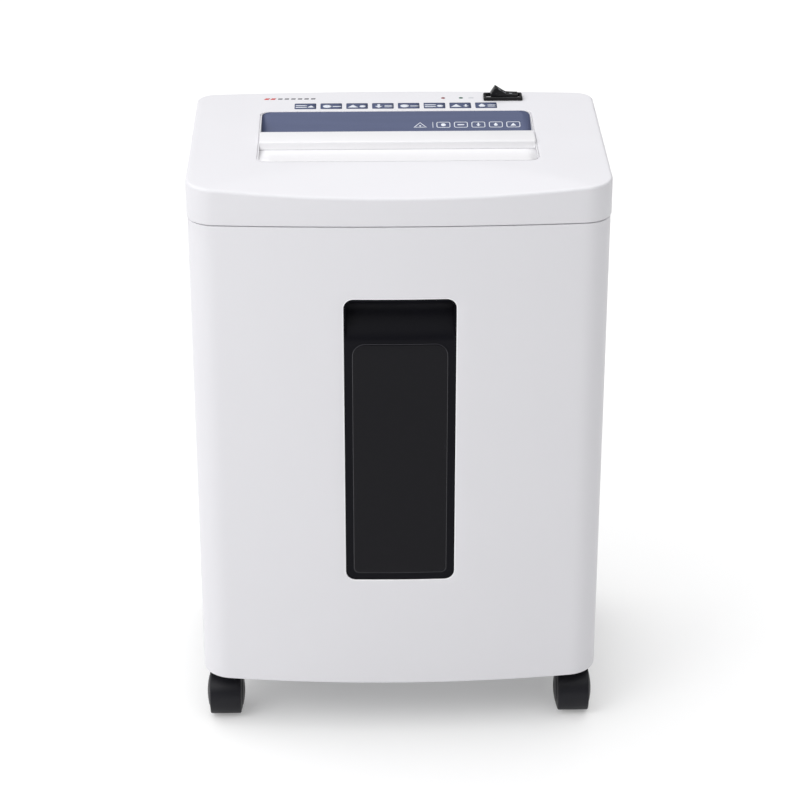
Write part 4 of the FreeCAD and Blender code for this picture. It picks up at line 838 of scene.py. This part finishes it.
# ---- Film and its pictograms --------------------------------------------------------------------
# A navy polyester film stuck on the rear guide. Near its right end it carries a triangle, a divider
# and five framed symbols, printed in pale ink that stands a few hundredths of a millimetre proud.

film_low, film_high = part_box("guide_label")
ramp_slope = (top_z - FILM - RAMP_LOW) / (throat_high[1] - slot_y[1])


def ramp_height(y):
    return RAMP_LOW + ramp_slope * (y - slot_y[1])


FILM_TURN = 8 * MM
FILM_LEAD = 0.02
film_turn = FILM_TURN * (1 - np.sin(np.radians(np.linspace(0, 90, 14))))
film_y = np.concatenate([between(film_low[1], film_high[1] - FILM_TURN, 0.006),
                         (film_high[1] - film_turn)[1:]])
film_path = np.stack([film_y, ramp_height(film_y) + FILM], -1)
film_plan = Plan(throat_high[0] - RIM, film_low[1] - FILM_LEAD, film_high[1], 2 * MM,
                 THROAT_R[1] - THROAT_GAP - RIM)
x = film_plan.width_at(film_y)[:, None] * np.linspace(-1, 1, 31)
film_grid = np.stack(np.broadcast_arrays(x, film_path[:, :1], film_path[:, 1:]), -1)


def printed_film(name, colour):
    """Satin printed film: even ink with slight streaks across the web, and a faint orange-peel."""
    paint = Paint(name)
    streaks = paint.noise(7 * MM, 3.0, (0.08, 1.0, 1.0))
    peel = paint.noise(1.5 * MM)
    return paint.surface(
        Base_Color=paint.mix(streaks, [c * 0.90 for c in colour], [c * 1.10 for c in colour]),
        Roughness=0.36 + peel * 0.08,
        Normal=paint.bump(peel, 0.004 * MM),
        Specular_IOR_Level=0.15)


navy = printed_film("navy", (0.079, 0.096, 0.176))
pale_ink = printed_film("pale_ink", (0.72, 0.75, 0.82))
piece("film", [skin(film_grid)], navy, "cabinet", ("guide_label",), facing=(0, 0, 1),
      wall=0.3 * MM)

INK = 0.10 * MM
LINE = 0.75 * MM


def laid(points, height):
    """Places flat points on a surface, a print's thickness above it."""
    x, y = points[..., 0], points[..., 1]
    return np.stack([x, y, height(x, y) + INK], -1)


def outline_band(points, height, width=LINE):
    """A closed line of even width: the points, and the points drawn in."""
    return skin(laid(np.array([points, drawn_in(points, width)]), height), wrap_columns=True)


def patch(points, height):
    """A filled shape: the outline shrunk in steps to its middle."""
    middle = points.mean(0)
    rings = np.array([middle + (points - middle) * t for t in (1, 0.5, 0)])
    return skin(laid(rings, height), wrap_columns=True)


def frame_outline(x, y, half_x, half_y, r):
    """A rounded rectangle of four quarter arcs."""
    places = [((1, 1), 0), ((-1, 1), 90), ((-1, -1), 180), ((1, -1), 270)]
    return np.concatenate([arc((x + sx * (half_x - r), y + sy * (half_y - r)), r, a, a + 90, 5)
                           for (sx, sy), a in places])


def polygon(x, y, corners):
    """A shape from its corners, each edge cut in four so that it can follow a curved surface."""
    corners = np.array(corners, float)
    ends = np.roll(corners, -1, 0)
    t = np.linspace(0, 1, 4, endpoint=False)[:, None]
    return np.concatenate([a + (b - a) * t for a, b in zip(corners, ends)]) * MM + (x, y)


def symbol(kind, x, y, height, scale=1.0):
    """Plain symbols: 1 bar, 2 arrow, 3 drop, 4 peak, 5 disc, 6 pair of bars."""
    k = scale
    if kind == 1:
        return [patch(frame_outline(x, y, 3.2 * k * MM, 0.8 * k * MM, 0.4 * k * MM), height)]
    if kind == 2:
        head = polygon(x, y, [(-2.2 * k, 0), (2.2 * k, 0), (0, -2.8 * k)])
        stem = frame_outline(x, y + 1.4 * k * MM, 0.7 * k * MM, 1.5 * k * MM, 0.3 * k * MM)
        return [patch(head, height), patch(stem, height)]
    if kind == 3:
        corners = [(0, 3.0 * k), (-1.9 * k, 0), (-1.2 * k, -2 * k), (1.2 * k, -2 * k), (1.9 * k, 0)]
        return [patch(polygon(x, y, corners), height)]
    if kind == 4:
        return [patch(polygon(x, y, [(-2.8 * k, -2 * k), (2.8 * k, -2 * k), (0, 2.4 * k)]), height)]
    if kind == 5:
        return [patch(arc((x, y), 2.3 * k * MM, 0, 345, 24), height)]
    return [patch(frame_outline(x, y + side * 1.4 * k * MM, 3.0 * k * MM, 0.6 * k * MM, 0.3 * k * MM), height)
            for side in (-1, 1)]


def on_film(x, y):
    return ramp_height(y) + FILM


SYMBOL_Y = 51.5 * MM
SYMBOL_X = 41.5 * MM
SYMBOL_PITCH = 15.4 * MM
marks_on_film = []
for k, kind in enumerate((5, 1, 2, 3, 4)):
    cx = SYMBOL_X + k * SYMBOL_PITCH
    marks_on_film.append(outline_band(frame_outline(cx, SYMBOL_Y, 6.1 * MM, 4.3 * MM, 1.8 * MM), on_film))
    marks_on_film += symbol(kind, cx, SYMBOL_Y, on_film, 0.95)
marks_on_film.append(patch(frame_outline(32.2 * MM, SYMBOL_Y, 0.25 * MM, 4.4 * MM, 0.2 * MM), on_film))
marks_on_film.append(outline_band(polygon(21.0 * MM, SYMBOL_Y, [(-6, -3.8), (6, -3.8), (0, 4.0)]), on_film))
marks_on_film.append(patch(arc((21.0 * MM, SYMBOL_Y - 1.5 * MM), 0.9 * MM, 0, 345, 16), on_film))
piece("film_marks", marks_on_film, pale_ink, "cabinet", facing=(0, 0, 1), wall=0.05 * MM)


# ---- Badges -------------------------------------------------------------------------------------
# Eight small navy labels in a row on the deck behind the throat, each with two plain pale symbols.
# They are printed film, stuck down like the one on the rear guide.

BADGE_COUNT = 8
BADGE_PITCH = 23.0 * MM
BADGE_Y = 87.0 * MM
BADGE_X = 0.15 * MM


def on_deck(x, y):
    return deck_height(x, y) + 0.02 * MM


def on_badge(x, y):
    return deck_height(x, y) + 0.16 * MM


badges, badge_marks = [], []
for k in range(BADGE_COUNT):
    cx = BADGE_X + (k - (BADGE_COUNT - 1) / 2) * BADGE_PITCH
    badges.append(patch(frame_outline(cx, BADGE_Y, 9.6 * MM, 7.4 * MM, 1.2 * MM), on_deck))
    badge_marks += symbol((6, 5, 4, 2, 5, 6, 4, 3)[k], cx - 3.6 * MM, BADGE_Y - 0.8 * MM, on_badge, 1.7)
    badge_marks += symbol((4, 1, 5, 6, 1, 5, 2, 6)[k], cx + 5.0 * MM, BADGE_Y - 1.2 * MM, on_badge, 1.2)
piece("badges", badges, navy, "cabinet", facing=(0, 0, 1), wall=0.08 * MM)
piece("badge_marks", badge_marks, pale_ink, "cabinet", facing=(0, 0, 1), wall=0.05 * MM)


# ---- Deck print ---------------------------------------------------------------------------------
# A plain ornament in red and grey ink on the left of the deck, and a short pale dash by the lamps.
# All of it is pad-printed straight on the moulding.

grey_ink = printed_film("grey_ink", (0.16, 0.16, 0.18))
red_ink = printed_film("red_ink", (0.62, 0.035, 0.03))
faint_ink = printed_film("faint_ink", (0.50, 0.52, 0.55))
PRINT_Y = 107.0 * MM
lozenges = [patch(polygon(x * MM, PRINT_Y, [(-2.8, -1.7), (1.2, -1.7), (2.8, 1.7), (-1.2, 1.7)]), on_deck)
            for x in (-115.0, -109.4)]
DASH_X = -103.2 * MM
DASH_PITCH = 5.9 * MM
DASH = [(-2.1, -1.5), (1.7, -1.5), (2.1, 1.5), (-1.7, 1.5)]
dashes = [patch(polygon(DASH_X + k * DASH_PITCH, PRINT_Y, DASH), on_deck) for k in range(6)]
piece("red_print", lozenges, red_ink, "cabinet", facing=(0, 0, 1), wall=0.05 * MM)
piece("grey_print", dashes, grey_ink, "cabinet", facing=(0, 0, 1), wall=0.05 * MM)
piece("faint_print", [patch(frame_outline(68.0 * MM, PRINT_Y, 2.2 * MM, 0.9 * MM, 0.4 * MM), on_deck)],
      faint_ink, "cabinet", facing=(0, 0, 1), wall=0.05 * MM)


# ---- Lamps --------------------------------------------------------------------------------------
# Two tinted clear lenses, pushed up through the deck from below, each over a small lamp on the
# control board. The domes stand a fraction of a millimetre above the deck.

def lens(name, colour):
    """Tinted clear plastic, deeper in colour towards faint mould marks."""
    paint = Paint(name)
    cloud = paint.noise(1.2 * MM)
    return paint.surface(
        Base_Color=paint.mix(cloud, [c * 0.7 for c in colour], colour),
        Roughness=0.12 + cloud * 0.08,
        Coat_Weight=0.6)


for node, name, colour in (("red_lamp_lens", "red_lamp", (0.26, 0.012, 0.012)),
                           ("green_lamp_lens", "green_lamp", (0.004, 0.12, 0.062))):
    low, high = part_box(node)
    cx, cy = (low[0] + high[0]) / 2, (low[1] + high[1]) / 2
    r = 1.9 * MM
    dome = arc((0, 0), r, 80, 0, 9) * (0.24, 1) + (high[2] - 0.24 * r, 0)
    profile = np.concatenate([[(low[2], 0), (low[2], r), (high[2] - 0.3 * r, r)], dome])
    piece(name, [turned(profile, (cx, cy, 0), "Z", 32)], lens(name, colour),
          "cabinet", (node,))


# ---- Switch -------------------------------------------------------------------------------------
# A black rocker switch pushed into the deck from above: a housing with a raised rim, and a button
# with a shallow V top that tips on two trunnions. Three pale marks are printed on its long face.

bezel_low, bezel_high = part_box("switch_housing")
switch_x, switch_y = (bezel_low[0] + bezel_high[0]) / 2, (bezel_low[1] + bezel_high[1]) / 2
bezel_plan = Plan((bezel_high[0] - bezel_low[0]) / 2, (bezel_low[1] - bezel_high[1]) / 2,
                  (bezel_high[1] - bezel_low[1]) / 2, 1.6 * MM, 1.6 * MM)
BEZEL_RING = (10, 8, 8, 8, 10)
BODY_IN = 2.2 * MM
body_section = [(BODY_IN, bezel_low[2], 0.0), (BODY_IN, bezel_low[2], 1.0), (BODY_IN, top_z, 1.0),
                (0.0, top_z + 0.02 * MM, 1.0),
                (0.0, bezel_high[2] - 1.3 * MM, 1.0), (0.12 * MM, bezel_high[2] - 0.8 * MM, 1.0),
                (0.4 * MM, bezel_high[2] - 0.35 * MM, 1.0), (0.9 * MM, bezel_high[2] - 0.06 * MM, 1.0),
                (1.5 * MM, bezel_high[2], 1.0), (1.9 * MM, bezel_high[2] - 0.1 * MM, 1.0),
                (2.25 * MM, bezel_high[2] - 0.5 * MM, 1.0),
                (2.4 * MM, top_z - 12 * MM, 1.0), (2.4 * MM, top_z - 12 * MM, 0.0)]


def bezel_row(inset, z, spread):
    x, y = bezel_plan.ring(BEZEL_RING, min(inset, 1.55 * MM))
    shrink_x = (bezel_plan.half - inset) / (bezel_plan.half - min(inset, 1.55 * MM))
    shrink_y = 1 - max(0, inset - 1.55 * MM) / (bezel_plan.mid[1] + 1e3)
    return np.stack([switch_x + x * shrink_x * spread, switch_y + y * shrink_y * spread,
                     np.full(x.size, z)], -1)


black_satin = moulded("black_satin", (0.010, 0.010, 0.011), 0.32, 0.5 * MM, 0.008 * MM, 0.10, gloss=0.25)
bezel = np.array([bezel_row(*row) for row in body_section])
piece("switch_bezel", [skin(bezel, wrap_columns=True)], black_satin, "cabinet",
      ("switch_housing",))

ROCKER_TILT = math.radians(18.0)
pivot = next(joint["pos_m"] for joint in frame["joints"] if joint["name"] == "rocker_tilt")
rocker_half_y = 4.7 * MM
rocker_profile = np.concatenate([
    [(-9.0, -6.4), (9.0, -6.4), (12.5, -0.7)],
    arc((11.9, 0.5), 0.8, -20, 16, 3), arc((10.15, 6.85), 0.8, 16, 104, 7),
    [(7.0, 6.75), (3.5, 5.8), (0, 4.98), (-3.5, 5.8), (-7.0, 6.75)],
    arc((-10.15, 6.85), 0.8, 76, 164, 7), arc((-11.9, 0.5), 0.8, 164, 200, 3), [(-12.5, -0.7)]]) * MM


def tipped(points, lift=0.0):
    """Level (along, height, depth) turned about the trunnions by the resting tilt."""
    along, up, across = points[..., 0], points[..., 1] + lift, points[..., 2]
    x = along * math.cos(ROCKER_TILT) + up * math.sin(ROCKER_TILT)
    z = up * math.cos(ROCKER_TILT) - along * math.sin(ROCKER_TILT)
    return np.stack([pivot[0] + x, pivot[1] + across, pivot[2] + z], -1)


button = bar(rocker_profile, -rocker_half_y, rocker_half_y, 0.6 * MM)[..., [1, 2, 0]]
piece("rocker", [skin(tipped(button), wrap_columns=True, caps=True)], black_satin, "rocker",
      ("rocker_button",))


def rocker_top(along):
    """Height of the V top at a distance along it."""
    return np.interp(np.abs(along), np.array([0, 3.5, 7.0, 10.2]) * MM, np.array([4.98, 5.8, 6.75, 7.6]) * MM)


rocker_marks = []
for along in (-6.0, -1.0, 4.5):
    shape = frame_outline(along * MM, -1.0 * MM, 1.3 * MM, 0.35 * MM, 0.2 * MM)
    rings = np.array([shape.mean(0) + (shape - shape.mean(0)) * t for t in (1, 0.5, 0)])
    flat = np.stack([rings[..., 0], rocker_top(rings[..., 0]) + 0.06 * MM, rings[..., 1]], -1)
    rocker_marks.append(skin(tipped(flat), wrap_columns=True))
piece("rocker_marks", rocker_marks, pale_ink, "rocker", facing=(0, 0, 1), wall=0.04 * MM)


# ---- Studio -------------------------------------------------------------------------------------
# A plain pale floor, an even white surround, a very wide overhead light, a soft box high on the left
# and a narrow one high in front, which draws thin highlights along the rounded edges.

def pale_floor():
    """Matt pale paint with a very faint mottle."""
    paint = Paint("pale_floor")
    mottle = paint.noise(0.4, 3.0)
    return paint.surface(
        Base_Color=paint.mix(mottle, (0.66, 0.66, 0.66), (0.68, 0.68, 0.68)),
        Emission_Color=(1.0, 1.0, 1.0),
        Emission_Strength=0.29,
        Roughness=0.85,
        Normal=paint.bump(mottle, 0.1 * MM))


FLOOR_HALF = 12.0
side = np.linspace(-FLOOR_HALF, FLOOR_HALF, 9)
floor_x, floor_y = np.meshgrid(side, side)
places, faces = skin(np.stack([floor_x, floor_y, np.zeros_like(floor_x)], -1))
floor_mesh = bpy.data.meshes.new("floor")
floor_mesh.from_pydata(places.tolist(), [], faces)
floor_mesh.materials.append(pale_floor())
floor = bpy.data.objects.new("floor", floor_mesh)
bpy.context.scene.collection.objects.link(floor)

world = bpy.data.worlds.new("surround")
bpy.context.scene.world = world
world.use_nodes = True
tree = world.node_tree
SURROUND = 0.13
tree.nodes["Background"].inputs["Strength"].default_value = SURROUND
tree.nodes["Background"].inputs["Color"].default_value = (1.0, 1.0, 1.0, 1.0)


def soft_box(name, place, aim, size, power):
    light = bpy.data.lights.new(name, "AREA")
    light.shape = "RECTANGLE"
    light.size, light.size_y = size
    light.energy = power
    lamp = bpy.data.objects.new(name, light)
    bpy.context.scene.collection.objects.link(lamp)
    lamp.location = place
    direction = np.array(aim) - np.array(place)
    flat = math.hypot(direction[0], direction[1])
    lamp.rotation_euler = (math.atan2(flat, -direction[2]), 0, math.atan2(-direction[0], direction[1]))


soft_box("left", (-1.05, -1.05, 1.15), (0.0, -0.1, 0.30), (0.8, 0.8), 5.6)
soft_box("strip", (0.0, -1.1, 2.0), (0.0, -0.1, 0.45), (1.6, 0.12), 0.8)

sky = bpy.data.lights.new("overhead", "SUN")
sky.energy = 3.32
sky.angle = math.radians(110)
sky_lamp = bpy.data.objects.new("overhead", sky)
sky_lamp.rotation_euler = (math.radians(-3), math.radians(-14), 0)
bpy.context.scene.collection.objects.link(sky_lamp)

SENSOR = 36.0
FOCAL_PX = 2577.0
IMAGE_PX = 800.0
camera_data = bpy.data.cameras.new("camera")
camera_data.sensor_width = SENSOR
camera_data.lens = FOCAL_PX / IMAGE_PX * SENSOR
camera_data.clip_end = 100.0
camera = bpy.data.objects.new("camera", camera_data)
camera.location = (-37.2 * MM, -2094.0 * MM, 1286.8 * MM)
camera.rotation_euler = (math.radians(90 - 25.88), 0.0, math.radians(-1.08))
bpy.context.scene.collection.objects.link(camera)
bpy.context.scene.camera = camera
bpy.context.scene.view_settings.view_transform = "Standard"
